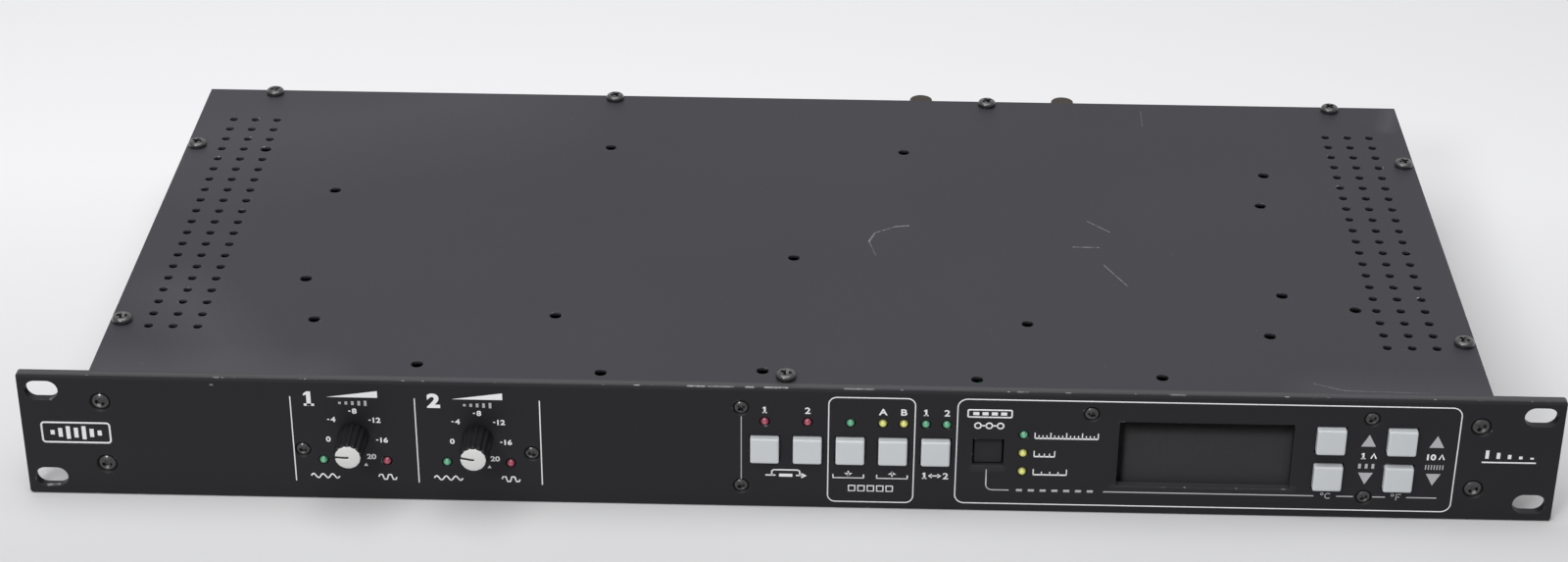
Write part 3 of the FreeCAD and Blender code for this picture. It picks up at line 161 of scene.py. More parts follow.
class KnobSettings(bpy.types.PropertyGroup):
    knob_colour: colour("Knob", (0.0085, 0.0085, 0.0095), "Black of the moulded knob bodies")
    cap_colour: colour("Cap", (0.655, 0.655, 0.64), "Off-white of the caps")
    pointer_colour: colour("Pointer", (0.03, 0.03, 0.03), "Dark line across each cap")
    flutes: IntProperty(name="Flutes", description="Grip flutes round a knob", default=14, min=3)
    flute_depth: length("Flute depth", 0.5, "Depth of a grip flute")
    front_share: share("Front taper", 0.94, "Radius at the front as a share of the base radius")
    pointer_width: length("Pointer width", 0.62, "Width of the dark line")
    pointer_turn: FloatProperty(name="Second knob's turn", default=radians(8.0), unit="ROTATION",
                                description="How far the second pointer stands above level")


class KeySettings(bpy.types.PropertyGroup):
    key_colour: colour("Key", (0.578, 0.602, 0.612), "Pale grey-white of the key caps")
    mode_colour: colour("Dark key", (0.018, 0.0175, 0.0195), "Black of the recessed key")
    edge_round: length("Key rounding", 0.55, "Rounding of a key cap's edges")
    # Share by which the upward-facing sides of the pale keys are drawn darker.
    top_dust: share("Key dust", 0.45, "How much the upper sides of the pale keys are dulled")


class LampSettings(bpy.types.PropertyGroup):
    green: colour("Green lamp", (0.10, 0.43, 0.23), "Unlit green lamp")
    red: colour("Red lamp", (0.38, 0.03, 0.08), "Unlit red lamp")
    yellow: colour("Yellow lamp", (0.80, 0.80, 0.20), "Unlit yellow lamp")
    rim_share: share("Rim shade", 0.22, "Brightness of a lamp's rim against its middle")
    barrel: length("Lamp barrel", 2.86, "Width of a lamp in its three-millimetre hole")
    chip_share: share("Lamp chip", 0.34, "Width of the paler spot in the middle of a lamp")


class DisplaySettings(bpy.types.PropertyGroup):
    lens_colour: colour("Window", (0.050, 0.050, 0.053), "Smoked window over the display")
    ghost_colour: colour("Segments", (0.075, 0.072, 0.074), "Unlit segments behind the window")
    lens_alpha: share("Window density", 0.72, "How much the window hides what is behind it")
    digit_count: IntProperty(name="Digits", description="Digits of the display", default=5, min=1)
    digit_width: length("Digit width", 5.2, "Width of one display digit")
    digit_rise: length("Digit height", 10.0, "Height of one display digit")
    segment: length("Segment width", 1.0, "Width of a digit's segment")


class MetalSettings(bpy.types.PropertyGroup):
    nickel: colour("Nickel", (0.60, 0.585, 0.56), "Plating of the connectors and nuts")
    bronze: colour("Lever bronze", (0.062, 0.047, 0.034), "Dulled plating of the release levers")
    zinc: colour("Zinc", (0.62, 0.62, 0.60), "Plating of spacers and brackets")
    socket_black: colour("Socket black", (0.016, 0.016, 0.017), "Moulded parts of the connectors")


class RackUnitSettings(bpy.types.PropertyGroup):
    stage: PointerProperty(type=StageSettings)
    paint: PointerProperty(type=PaintSettings)
    legend: PointerProperty(type=PrintSettings)
    screw: PointerProperty(type=ScrewSettings)
    knob: PointerProperty(type=KnobSettings)
    key: PointerProperty(type=KeySettings)
    lamp: PointerProperty(type=LampSettings)
    display: PointerProperty(type=DisplaySettings)
    metal: PointerProperty(type=MetalSettings)


def settings():
    return bpy.context.scene.rack_unit


# ---------------------------------------------------------------- node trees
def add_node(tree, kind, inputs=None, **options):
    """A node with its options set and its sockets fed by a value or by another node's socket."""
    node = tree.nodes.new(kind)
    for name, value in options.items():
        setattr(node, name, value)
    for key, value in (inputs or {}).items():
        if isinstance(value, bpy.types.NodeSocket):
            tree.links.new(value, node.inputs[key])
        else:
            node.inputs[key].default_value = value
    return node


def calculate(tree, operation, *values):
    node = add_node(tree, "ShaderNodeMath", dict(enumerate(values)), operation=operation)
    return node.outputs[0]


def calculate_vector(tree, operation, *values):
    return add_node(tree, "ShaderNodeVectorMath", dict(enumerate(values)), operation=operation)


def fade(tree, value, low, high, start=0.0, end=1.0):
    """A value mapped from low..high to start..end and held there."""
    node = add_node(tree, "ShaderNodeMapRange",
                    {"Value": value, "From Min": low, "From Max": high, "To Min": start, "To Max": end})
    return node.outputs["Result"]


def blend_colours(tree, factor, first, second, way="MIX"):
    node = add_node(tree, "ShaderNodeMix", {0: factor, 6: first, 7: second},
                    data_type="RGBA", blend_type=way)
    return node.outputs[2]


def opaque(rgb, level=1.0):
    return (rgb[0] * level, rgb[1] * level, rgb[2] * level, 1.0)


def new_group(name, kind, inputs, outputs):
    """A node group with its sockets; each input is a type and a default."""
    tree = bpy.data.node_groups.new(name, kind)
    for label, (socket, default) in inputs.items():
        made = tree.interface.new_socket(name=label, in_out="INPUT", socket_type=f"NodeSocket{socket}")
        if default is not None:
            made.default_value = default
    for label, socket in outputs.items():
        tree.interface.new_socket(name=label, in_out="OUTPUT", socket_type=f"NodeSocket{socket}")
    return tree, tree.nodes.new("NodeGroupInput").outputs, tree.nodes.new("NodeGroupOutput").inputs


def shared(maker):
    """Build a node group on its first use and hand out the same one afterwards."""
    def found():
        name = maker.__name__.replace("_", " ").capitalize()
        if name not in bpy.data.node_groups:
            maker(name)
        return bpy.data.node_groups[name]
    return found


@shared
def paint_grain(name):
    """Fine grain of sprayed paint, and the slow mottle of its shade."""
    tree, given, made = new_group(
        name, "ShaderNodeTree",
        {"Vector": ("Vector", None), "Grain": ("Float", 0.0005), "Mottle": ("Float", 0.05)},
        {"Height": "Float", "Shade": "Float"})
    pitch = calculate(tree, "DIVIDE", 1.0, given["Grain"])
    fine = add_node(tree, "ShaderNodeTexNoise",
                    {"Vector": given["Vector"], "Scale": pitch, "Detail": 2.0, "Roughness": 0.6})
    slow = add_node(tree, "ShaderNodeTexNoise", {"Vector": given["Vector"], "Scale": 1 / MOTTLE_SIZE})
    tree.links.new(fine.outputs["Fac"], made["Height"])
    swing = calculate(tree, "SUBTRACT", slow.outputs["Fac"], 0.5)
    speckle = calculate(tree, "SUBTRACT", fine.outputs["Fac"], 0.5)
    both = calculate(tree, "ADD", calculate(tree, "MULTIPLY", swing, 2.0), speckle)
    shade = calculate(tree, "MULTIPLY_ADD", both, given["Mottle"], 1.0)
    tree.links.new(shade, made["Shade"])


@shared
def rubbed_edges(name):
    """A broken mask along the rounded edges that a piece's rim attribute marks."""
    tree, given, made = new_group(
        name, "ShaderNodeTree",
        {"Vector": ("Vector", None), "Amount": ("Float", 0.4), "Patch": ("Float", 0.004)},
        {"Mask": "Float"})
    rim = add_node(tree, "ShaderNodeAttribute", attribute_name="rim").outputs["Fac"]
    pitch = calculate(tree, "DIVIDE", 1.0, given["Patch"])
    noise = add_node(tree, "ShaderNodeTexNoise",
                     {"Vector": given["Vector"], "Scale": pitch, "Detail": 4.0, "Roughness": 0.65})
    bare = calculate(tree, "SUBTRACT", 1.0, given["Amount"])
    low = calculate(tree, "MULTIPLY_ADD", bare, 0.5, 0.25)
    high = calculate(tree, "ADD", low, 0.07)
    mask = calculate(tree, "MULTIPLY", fade(tree, noise.outputs["Fac"], low, high), rim)
    tree.links.new(mask, made["Mask"])


@shared
def dust_specks(name):
    """Sparse small specks, one at most in each cell of a random pattern."""
    tree, given, made = new_group(
        name, "ShaderNodeTree",
        {"Vector": ("Vector", None), "Spacing": ("Float", 0.006), "Size": ("Float", 0.0002),
         "Share": ("Float", 0.3)},
        {"Mask": "Float"})
    pitch = calculate(tree, "DIVIDE", 1.0, given["Spacing"])
    cells = add_node(tree, "ShaderNodeTexVoronoi", {"Vector": given["Vector"], "Scale": pitch})
    reach = calculate(tree, "DIVIDE", given["Size"], given["Spacing"])
    spot = fade(tree, cells.outputs["Distance"], calculate(tree, "MULTIPLY", reach, 0.4), reach, 1.0, 0.0)
    lot = add_node(tree, "ShaderNodeSeparateColor", {"Color": cells.outputs["Color"]}).outputs["Red"]
    kept = calculate(tree, "LESS_THAN", lot, given["Share"])
    tree.links.new(calculate(tree, "MULTIPLY", spot, kept), made["Mask"])


@shared
def stroke_mark(name):
    """A mark along a straight stroke: a scratch where it is narrow, a rubbed patch where it is wide."""
    tree, given, made = new_group(
        name, "ShaderNodeTree",
        {"Vector": ("Vector", None), "Start": ("Vector", None), "End": ("Vector", None),
         "Width": ("Float", 0.0003), "Break": ("Float", 0.4)},
        {"Mask": "Float"})
    along = calculate_vector(tree, "SUBTRACT", given["End"], given["Start"]).outputs[0]
    away = calculate_vector(tree, "SUBTRACT", given["Vector"], given["Start"]).outputs[0]
    part = calculate(tree, "DIVIDE", calculate_vector(tree, "DOT_PRODUCT", away, along).outputs["Value"],
                     calculate_vector(tree, "DOT_PRODUCT", along, along).outputs["Value"])
    held = fade(tree, part, 0.0, 1.0)
    nearest = calculate_vector(tree, "SCALE", along)
    tree.links.new(held, nearest.inputs["Scale"])
    offset = calculate_vector(tree, "SUBTRACT", away, nearest.outputs[0]).outputs[0]
    gap = calculate_vector(tree, "LENGTH", offset).outputs["Value"]
    line = fade(tree, gap, 0.0, given["Width"], 1.0, 0.0)
    pitch = calculate(tree, "DIVIDE", 0.35, given["Width"])
    noise = add_node(tree, "ShaderNodeTexNoise",
                     {"Vector": given["Vector"], "Scale": pitch, "Detail": 3.0, "Roughness": 0.7})
    broken = fade(tree, noise.outputs["Fac"], calculate(tree, "MULTIPLY", given["Break"], 0.9),
                  calculate(tree, "MULTIPLY_ADD", given["Break"], 0.9, 0.2))
    tree.links.new(calculate(tree, "MULTIPLY", line, broken), made["Mask"])


@shared
def drawn_metal(name):
    """Fine parallel lines of drawn or turned metal, stretched along one direction."""
    tree, given, made = new_group(
        name, "ShaderNodeTree",
        {"Vector": ("Vector", None), "Stretch": ("Vector", (1.0, 12.0, 12.0))},
        {"Shade": "Float", "Height": "Float"})
    pulled = calculate_vector(tree, "MULTIPLY", given["Vector"], given["Stretch"]).outputs[0]
    lines = add_node(tree, "ShaderNodeTexNoise", {"Vector": pulled, "Scale": 220.0, "Detail": 3.0})
    tree.links.new(fade(tree, lines.outputs["Fac"], 0.3, 0.7, 0.82, 1.08), made["Shade"])
    tree.links.new(lines.outputs["Fac"], made["Height"])


class Finish:
    """A material being built: its tree, its shader, and short ways to feed the shader."""

    def __init__(self, name, **constants):
        self.material = bpy.data.materials.new(name)
        self.material.use_nodes = True
        self.tree = self.material.node_tree
        self.shader = self.tree.nodes["Principled BSDF"]
        for socket, value in constants.items():
            self.shader.inputs[socket.replace("_", " ")].default_value = value
        self.place = add_node(self.tree, "ShaderNodeTexCoord").outputs["Object"]

    def group(self, maker, **values):
        """A shared group on the piece's own coordinates, with this material's values."""
        node = self.tree.nodes.new("ShaderNodeGroup")
        node.node_tree = maker()
        self.tree.links.new(self.place, node.inputs["Vector"])
        for label, value in values.items():
            node.inputs[label].default_value = value
        return node.outputs

    def feed(self, socket, value):
        self.tree.links.new(value, self.shader.inputs[socket])

    def bump(self, height, distance, strength=1.0):
        node = add_node(self.tree, "ShaderNodeBump",
                        {"Height": height, "Distance": distance, "Strength": strength})
        self.feed("Normal", node.outputs["Normal"])

    def shaded(self, rgb, shade):
        """A colour whose brightness follows a value."""
        grey = add_node(self.tree, "ShaderNodeCombineColor", {0: shade, 1: shade, 2: shade}).outputs[0]
        return blend_colours(self.tree, 1.0, opaque(rgb), grey, "MULTIPLY")

    def roughness(self, value, low, high):
        self.feed("Roughness", fade(self.tree, value, 0.3, 0.7, low, high))

    def over(self, tone, mask, weight, colour_on_top):
        """A colour laid over another where a mask shows, as strongly as its weight says."""
        return blend_colours(self.tree, calculate(self.tree, "MULTIPLY", mask, weight), tone, colour_on_top)

    def marked(self, tone, marks, broken, colour_on_top):
        """A colour with marks laid over it, each from a start to an end with a width and a weight."""
        for start, end, width, weight in marks:
            mark = self.group(stroke_mark, Start=start, End=end, Width=width, Break=broken)["Mask"]
            tone = self.over(tone, mark, weight, colour_on_top)
        return tone

    def grime(self, tone, low, high, reach, weight=0.93):
        """A painted shadow: a colour darkened along the top and the left side of a piece set deep in an
        opening.
        """
        corner = Vector((low.x, low.y, high.z))
        for end, width in ((Vector((high.x, low.y, high.z)), reach), (low, reach * 0.5)):
            line = self.group(stroke_mark, Start=corner, End=end, Width=width, Break=0.0)["Mask"]
            tone = self.over(tone, fade(self.tree, line, 0.15, 0.6), weight, SHADOW)
        return tone


def finish(maker):
    """Build a material on its first use and hand out the same one afterwards."""
    def found():
        name = f"{maker.__name__}_finish"
        if name not in bpy.data.materials:
            maker(name)
        return bpy.data.materials[name]
    return found


# ---------------------------------------------------------------- finishes
def painted(name, rgb, roughness, speck_share, strokes=(), patches=()):
    """Sprayed black paint on sheet metal with rubbed edges, dust, scratches, paler patches and painted
    shade in countersinks.
    """
    paint = settings().paint
    dust = opaque(paint.dust_colour)
    made = Finish(name, Specular_IOR_Level=paint.shine)
    grain = made.group(paint_grain, Grain=paint.grain, Mottle=0.10)
    tone = made.marked(made.shaded(rgb, grain["Shade"]), patches, 0.12, dust)
    specks = made.group(dust_specks, Spacing=7 * MM, Size=0.22 * MM, Share=speck_share)["Mask"]
    tone = made.over(tone, specks, 0.55, dust)
    tone = made.marked(tone, strokes, 0.38, opaque(paint.dust_colour, 1.3))
    rubbed = made.group(rubbed_edges, Amount=paint.wear, Patch=3.5 * MM)["Mask"]
    tone = made.over(tone, rubbed, 0.5, opaque(paint.metal_colour))
    # Painted shade: the countersinks' cones are darkened nearly to black.
    hollow = add_node(made.tree, "ShaderNodeAttribute", attribute_name="hollow").outputs["Fac"]
    made.feed("Base Color", made.over(tone, hollow, 0.85, SHADOW))
    worn = calculate(made.tree, "MULTIPLY_ADD", hollow, 0.4, grain["Height"])
    made.roughness(worn, roughness - 0.05, roughness + 0.07)
    made.bump(grain["Height"], distance=0.02 * MM, strength=0.55)


def stroke(x, y, x_end, y_end, z, width, weight):
    """A level mark on the paint between two places, in millimetres."""
    return Vector((x, y, z)) * MM, Vector((x_end, y_end, z)) * MM, width * MM, weight


@finish
def panel_paint(name):
    low, high = (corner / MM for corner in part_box("front_panel"))
    edge = high.z - 0.05
    chips = [stroke(x, low.y + 0.15, x + span, low.y + 0.1, edge, 0.5, weight)
             for x, span, weight in ((-178.0, 1.2, 0.5), (-31.0, 5.0, 0.9), (-24.5, 7.5, 0.5),
                                     (-13.0, 2.2, 0.8), (-7.2, 6.8, 0.9), (17.5, 9.0, 0.5),
                                     (71.0, 3.0, 0.4), (118.0, 4.5, 0.4))]
    low_slot, high_slot = 2.65, 34.4
    chips += [stroke(low.x + 6.0, low.y + 0.6, low.x + 9.2, low.y + 1.0, low_slot, 0.8, 0.9),
              stroke(low.x + 10.2, low.y + 0.5, low.x + 12.2, low.y + 1.2, high_slot, 0.7, 0.7),
              stroke(-179.4, low.y, -178.8, low.y, 40.9, 0.45, 0.6)]
    # Painted light: paler strips on the panel's top face and on the bottom walls of the window and the dark
    # key's opening.
    inner = low.y + 1.7
    painted_light_strips = [stroke(low.x, low.y + 1.5, high.x, low.y + 1.5, high.z, 2.2, 0.15)]
    for node, gap in (("display_lens", -LENS_MARGIN), ("mode_button", 0.35)):
        left, right = (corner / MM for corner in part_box(node))
        painted_light_strips.append(stroke(left.x + 1.0, inner, right.x - 1.0, inner, left.z - gap, 2.4, 0.11))
    painted(name, settings().paint.panel_colour, roughness=0.46, speck_share=0.08,
            strokes=chips, patches=painted_light_strips)


@finish
def cover_paint(name):
    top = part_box("top_cover")[1].z / MM
    scratches = [
        stroke(27.2, -17.5, 25.0, -8.0, top, 0.35, 0.30),
        stroke(25.0, -8.0, 27.0, -2.0, top, 0.45, 0.55),
        stroke(27.0, -2.0, 34.0, 2.8, top, 0.35, 0.50),
        stroke(34.0, 2.8, 38.5, 3.6, top, 0.40, 0.75),
        stroke(93.5, -9.6, 102.0, -9.6, top, 0.35, 0.65),
        stroke(99.4, 8.9, 106.5, 1.4, top, 0.30, 0.50),
        stroke(103.0, -22.0, 109.7, -35.8, top, 0.28, 0.55),
        stroke(124.0, 83.4, 124.3, 95.4, top, 0.30, 0.22),
        stroke(163.0, -96.0, 172.0, -99.8, top, 0.35, 0.28),
        stroke(172.0, -99.8, 198.0, -100.6, top, 0.35, 0.22),
    ]
    patches = [
        stroke(-212.0, -101.0, -150.0, -103.0, top, 18.0, 0.055),
        stroke(-200.0, -50.0, -176.0, -88.0, top, 20.0, 0.045),
        stroke(165.0, -101.0, 212.0, -101.0, top, 14.0, 0.035),
        stroke(212.0, 84.0, 216.0, 99.0, top, 5.0, 0.07),
        stroke(-205.0, 62.0, -120.0, 96.0, top, 60.0, 0.045),
    ]
    painted(name, settings().paint.cover_colour, roughness=0.52, speck_share=0.30,
            strokes=scratches, patches=patches)


@finish
def case_paint(name):
    painted(name, settings().paint.case_colour, roughness=0.5, speck_share=0.12)


def moulded(name, rgb, roughness, grain_size, coat=0.0, shine=0.5):
    """Moulded plastic: a fine spark-eroded texture with handling marks in its gloss."""
    made = Finish(name, Coat_Weight=coat, Coat_Roughness=0.15, Specular_IOR_Level=shine)
    grain = made.group(paint_grain, Grain=grain_size, Mottle=0.05)
    made.feed("Base Color", made.shaded(rgb, grain["Shade"]))
    made.roughness(grain["Shade"], roughness + 0.08, roughness - 0.05)
    made.bump(grain["Height"], distance=0.012 * MM, strength=0.5)


def plated(name, rgb, roughness, stretch):
    """Plated metal with fine drawn lines and an uneven shine."""
    made = Finish(name, Metallic=1.0)
    lines = made.group(drawn_metal, Stretch=stretch)
    made.feed("Base Color", made.shaded(rgb, lines["Shade"]))
    made.roughness(lines["Height"], roughness, roughness + 0.16)
    made.bump(lines["Height"], distance=0.006 * MM, strength=0.4)


@finish
def knob_black(name):
    moulded(name, settings().knob.knob_colour, roughness=0.42, grain_size=0.25 * MM, shine=0.22)


@finish
def cap_white(name):
    moulded(name, settings().knob.cap_colour, roughness=0.38, grain_size=0.2 * MM, coat=0.15)


@finish
def pointer_dark(name):
    moulded(name, settings().knob.pointer_colour, roughness=0.55, grain_size=0.2 * MM)


@finish
def key_white(name):
    """Pale key plastic, darker on the upward-facing sides."""
    look = settings().key
    made = Finish(name)
    grain = made.group(paint_grain, Grain=0.22 * MM, Mottle=0.05)
    facing = add_node(made.tree, "ShaderNodeTexCoord").outputs["Normal"]
    rise = add_node(made.tree, "ShaderNodeSeparateXYZ", {0: facing}).outputs["Z"]
    tone = made.shaded(look.key_colour, grain["Shade"])
    # The upward-facing sides are drawn darker by the given share.
    made.feed("Base Color", made.over(tone, fade(made.tree, rise, 0.3, 0.9), look.top_dust,
                                      opaque(look.key_colour, 0.5)))
    made.roughness(grain["Shade"], low=0.50, high=0.37)
    made.bump(grain["Height"], distance=0.012 * MM, strength=0.5)


@finish
def key_dark(name):
    """Dark key plastic with a painted shadow along the top and the left of its opening."""
    made = Finish(name, Specular_IOR_Level=0.2)
    grain = made.group(paint_grain, Grain=0.22 * MM, Mottle=0.05)
    tone = made.shaded(settings().key.mode_colour, grain["Shade"])
    # Painted shadow of the opening's top and left walls on the recessed key.
    made.feed("Base Color", made.grime(tone, *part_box("mode_button"), 3.6 * MM))
    made.roughness(grain["Shade"], low=0.58, high=0.45)
    made.bump(grain["Height"], distance=0.012 * MM, strength=0.5)


@finish
def socket_black(name):
    moulded(name, settings().metal.socket_black, roughness=0.45, grain_size=0.3 * MM)


@finish
def connector_nickel(name):
    plated(name, settings().metal.nickel, roughness=0.26, stretch=(6.0, 1.0, 6.0))


@finish
def contact_silver(name):
    plated(name, (0.78, 0.76, 0.70), roughness=0.18, stretch=(8.0, 1.0, 8.0))


@finish
def lever_bronze(name):
    plated(name, settings().metal.bronze, roughness=0.24, stretch=(1.0, 8.0, 8.0))


@finish
def zinc_steel(name):
    plated(name, settings().metal.zinc, roughness=0.34, stretch=(1.0, 10.0, 10.0))


@finish
def bare_aluminium(name):
    plated(name, (0.75, 0.75, 0.76), roughness=0.35, stretch=(10.0, 10.0, 1.0))


@finish
def screw_black(name):
    """Blackened steel: a dark oily gloss with the metal showing where a driver has rubbed."""
    made = Finish(name, Coat_Weight=0.8, Coat_Roughness=0.14)
    grain = made.group(paint_grain, Grain=0.3 * MM, Mottle=0.15)
    rubbed = made.group(dust_specks, Spacing=1.6 * MM, Size=0.35 * MM, Share=0.22)["Mask"]
    tone = made.shaded(settings().screw.screw_colour, grain["Shade"])
    made.feed("Base Color", made.over(tone, rubbed, 0.05, opaque(settings().paint.dust_colour)))
    made.roughness(grain["Height"], low=0.24, high=0.4)
    made.bump(grain["Height"], distance=0.015 * MM, strength=0.5)


def inked(name, rgb):
    """Screen-printed ink: nearly even, thinner where the paint's grain stands up."""
    made = Finish(name)
    grain = made.group(paint_grain, Grain=0.35 * MM, Mottle=0.22)
    made.feed("Base Color", made.shaded(rgb, grain["Shade"]))
    made.roughness(grain["Height"], low=0.5, high=0.62)


@finish
def print_white(name):
    inked(name, settings().legend.print_colour)


@finish
def print_grey(name):
    inked(name, settings().legend.grey_colour)


def lamp_plastic(name, rgb):
    """Tinted diffusing resin with painted shade towards the rim, and a pale spot over the chip that is
    partly a painted highlight.
    """
    made = Finish(name, Coat_Weight=0.6, Coat_Roughness=0.08, Roughness=0.35)
    core = add_node(made.tree, "ShaderNodeAttribute", attribute_name="core").outputs["Fac"]
    # Painted shade: the dome darkens towards its rim.
    body = blend_colours(made.tree, fade(made.tree, core, 0.35, 0.92),
                         opaque(rgb), opaque(rgb, settings().lamp.rim_share))
    # Pale spot over the chip: partly the chip seen through the resin, partly a painted highlight.
    chip = settings().lamp.chip_share
    spot = fade(made.tree, core, chip * 0.5, chip, 0.18, 0.0)
    made.feed("Base Color", blend_colours(made.tree, spot, body, (0.62, 0.62, 0.58, 1.0)))


@finish
def lamp_green(name):
    lamp_plastic(name, settings().lamp.green)


@finish
def lamp_red(name):
    lamp_plastic(name, settings().lamp.red)


@finish
def lamp_yellow(name):
    lamp_plastic(name, settings().lamp.yellow)


@finish
def smoked_lens(name):
    """Smoked acrylic with a matt front: mostly dark, with a little of the display showing."""
    made = Finish(name, Alpha=settings().display.lens_alpha, Specular_IOR_Level=0.10)
    grain = made.group(paint_grain, Grain=0.3 * MM, Mottle=0.06)
    tone = made.shaded(settings().display.lens_colour, grain["Shade"])
    low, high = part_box("display_lens")
    hidden = Vector((LENS_MARGIN, 0, LENS_MARGIN)) * MM
    # Painted shadow along the top and the left, where the window's walls shade the lens.
    made.feed("Base Color", made.grime(tone, low + hidden, high - hidden, 7.5 * MM))
    made.roughness(grain["Height"], low=0.45, high=0.55)


@finish
def display_face(name):
    moulded(name, (0.014, 0.014, 0.015), roughness=0.3, grain_size=0.4 * MM)


@finish
def segment_pale(name):
    moulded(name, settings().display.ghost_colour, roughness=0.4, grain_size=0.4 * MM)


@finish
def board_green(name):
    """Solder mask over copper: tracks show as slightly paler, raised lines."""
    made = Finish(name, Coat_Weight=0.4, Coat_Roughness=0.12)
    tracks = add_node(made.tree, "ShaderNodeTexBrick",
                      {"Vector": made.place, "Scale": 260.0, "Mortar Size": 0.06})
    grain = made.group(paint_grain, Grain=2.0 * MM, Mottle=0.2)
    base = made.shaded((0.012, 0.085, 0.035), grain["Shade"])
    made.feed("Base Color", made.over(base, tracks.outputs["Fac"], 0.4, (0.03, 0.16, 0.07, 1.0)))
    made.roughness(grain["Height"], low=0.25, high=0.4)
    made.bump(tracks.outputs["Fac"], distance=0.03 * MM, strength=0.5)


@finish
def chip_black(name):
    moulded(name, (0.022, 0.022, 0.023), roughness=0.5, grain_size=0.3 * MM)


@finish
def capacitor_sleeve(name):
    moulded(name, (0.022, 0.035, 0.11), roughness=0.25, grain_size=0.4 * MM, coat=0.3)


# ---------------------------------------------------------------- meshes
def linked(name, data):
    made = bpy.data.objects.new(name, data)
    bpy.context.scene.collection.objects.link(made)
    return made


def piece(name, mesh, body, material):
    """A finished piece: its mesh in place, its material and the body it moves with."""
    made = linked(name, mesh)
    if material is not None:
        mesh.materials.clear()
        mesh.materials.append(material)
    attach(made, body)
    return made


def plain_mesh(carrier):
    """What an object's modifiers make of it, as a plain mesh; the carrier is removed."""
    bpy.context.view_layer.update()
    graph = bpy.context.evaluated_depsgraph_get()
    mesh = bpy.data.meshes.new_from_object(carrier.evaluated_get(graph), depsgraph=graph)
    carrier.modifiers.clear()
    bpy.data.objects.remove(carrier)
    return mesh


def mesh_from(work, name):
    """The mesh that a bmesh holds; the bmesh is freed."""
    mesh = bpy.data.meshes.new(name)
    work.to_mesh(mesh)
    work.free()
    return mesh


def merged_copy(node):
    """A CAD node's loose triangles joined at their corners, in a bmesh of their own."""
    work = bmesh.new()
    work.from_mesh(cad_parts[node].data)
    bmesh.ops.remove_doubles(work, verts=work.verts, dist=0.002 * MM)
    return work


def solids(node):
    """The lowest and highest corner of each separate solid of a CAD node.

    They go from left to right, then upward, then backward, so no two can change places between runs.
    """
    work = merged_copy(node)
    found = []
    left = set(work.verts)
    while left:
        reached = [left.pop()]
        island = list(reached)
        while reached:
            vertex = reached.pop()
            near = {edge.other_vert(vertex) for edge in vertex.link_edges} & left
            left -= near
            reached += near
            island += near
        spread = [[vertex.co[axis] for vertex in island] for axis in range(3)]
        found.append((Vector(map(min, spread)), Vector(map(max, spread))))
    work.free()
    return sorted(found, key=lambda box: [round(box[0][axis], 4) for axis in (0, 2, 1)])


def middle(node):
    low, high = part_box(node)
    return (low + high) / 2


def front_middle(low, high):
    """The middle of the front side of a box given by its corners."""
    return Vector(((low.x + high.x) / 2, low.y, (low.z + high.z) / 2))


def smooth_mesh(work, name, sharp=50.0):
    """Turn a bmesh into a mesh that shades smoothly but for its sharp edges."""
    raw = mesh_from(work, name)
    raw.shade_smooth()
    raw.set_sharp_from_angle(angle=radians(sharp))
    carrier = linked(name, raw)
    weighted = carrier.modifiers.new("Weighted", "WEIGHTED_NORMAL")
    weighted.keep_sharp = True
    return plain_mesh(carrier)


def soften(node, body, material, width, angle=30.0):
    """A copy of a CAD node with its edges rounded; it stands for the node.

    Its rim attribute marks the rounded edges, and its hollow attribute the countersinks' cones.
    """
    work = merged_copy(node)
    rim = work.faces.layers.float.new("rim")
    sharp = [edge for edge in work.edges
             if edge.is_manifold and edge.calc_face_angle() > radians(angle)]
    rounded = bmesh.ops.bevel(work, geom=sharp, offset=width, segments=2, profile=0.5,
                              affect="EDGES", clamp_overlap=False, loop_slide=False)
    for face in rounded["faces"]:
        face[rim] = 1.0
    hollow = work.faces.layers.float.new("hollow")
    least, most = CONE_SLOPE
    for face in work.faces:
        if face[rim] == 0 and least < abs(face.normal.y) < most:
            face[hollow] = 1.0
    made = piece(f"{node}_finished", smooth_mesh(work, f"{node}_finished"), body, material)
    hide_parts(node)


def carry_over(node, material):
    """A CAD node that stays as it is and gets a better material."""
    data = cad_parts[node].data
    data.materials.clear()
    data.materials.append(material)


def lathe(profile, steps):
    """A closed turned shape about Z from (radius, height) points that start and end on the axis."""
    work = bmesh.new()
    rings = []
    for radius, height in profile:
        count = steps if radius > 0 else 1
        rings.append([work.verts.new((radius * cos(2 * pi * turn / count),
                                      radius * sin(2 * pi * turn / count), height))
                      for turn in range(count)])
    for inner, outer in zip(rings, rings[1:]):
        for turn in range(steps):
            corners = [inner[turn % len(inner)], outer[turn % len(outer)],
                       outer[(turn + 1) % len(outer)], inner[(turn + 1) % len(inner)]]
            unique = list(dict.fromkeys(corners))
            if len(unique) > 2:
                work.faces.new(unique)
    bmesh.ops.recalc_face_normals(work, faces=work.faces)
    return work


def arc_points(x, y, radius, start, end, steps):
    """Points on an arc about a centre; the angles are in degrees."""
    turns = [radians(start + (end - start) * step / steps) for step in range(steps + 1)]
    return [(x + radius * cos(turn), y + radius * sin(turn)) for turn in turns]


# ---------------------------------------------------------------- geometry nodes
def node_tree(name, inputs):
    return new_group(name, "GeometryNodeTree", inputs, {"Geometry": "Geometry"})


def close_tree(tree, geometry, material, out):
    """End a tree in real geometry with its material."""
    real = add_node(tree, "GeometryNodeRealizeInstances", {0: geometry}).outputs[0]
    painted_over = add_node(tree, "GeometryNodeSetMaterial", {"Geometry": real, "Material": material})
    tree.links.new(painted_over.outputs[0], out["Geometry"])


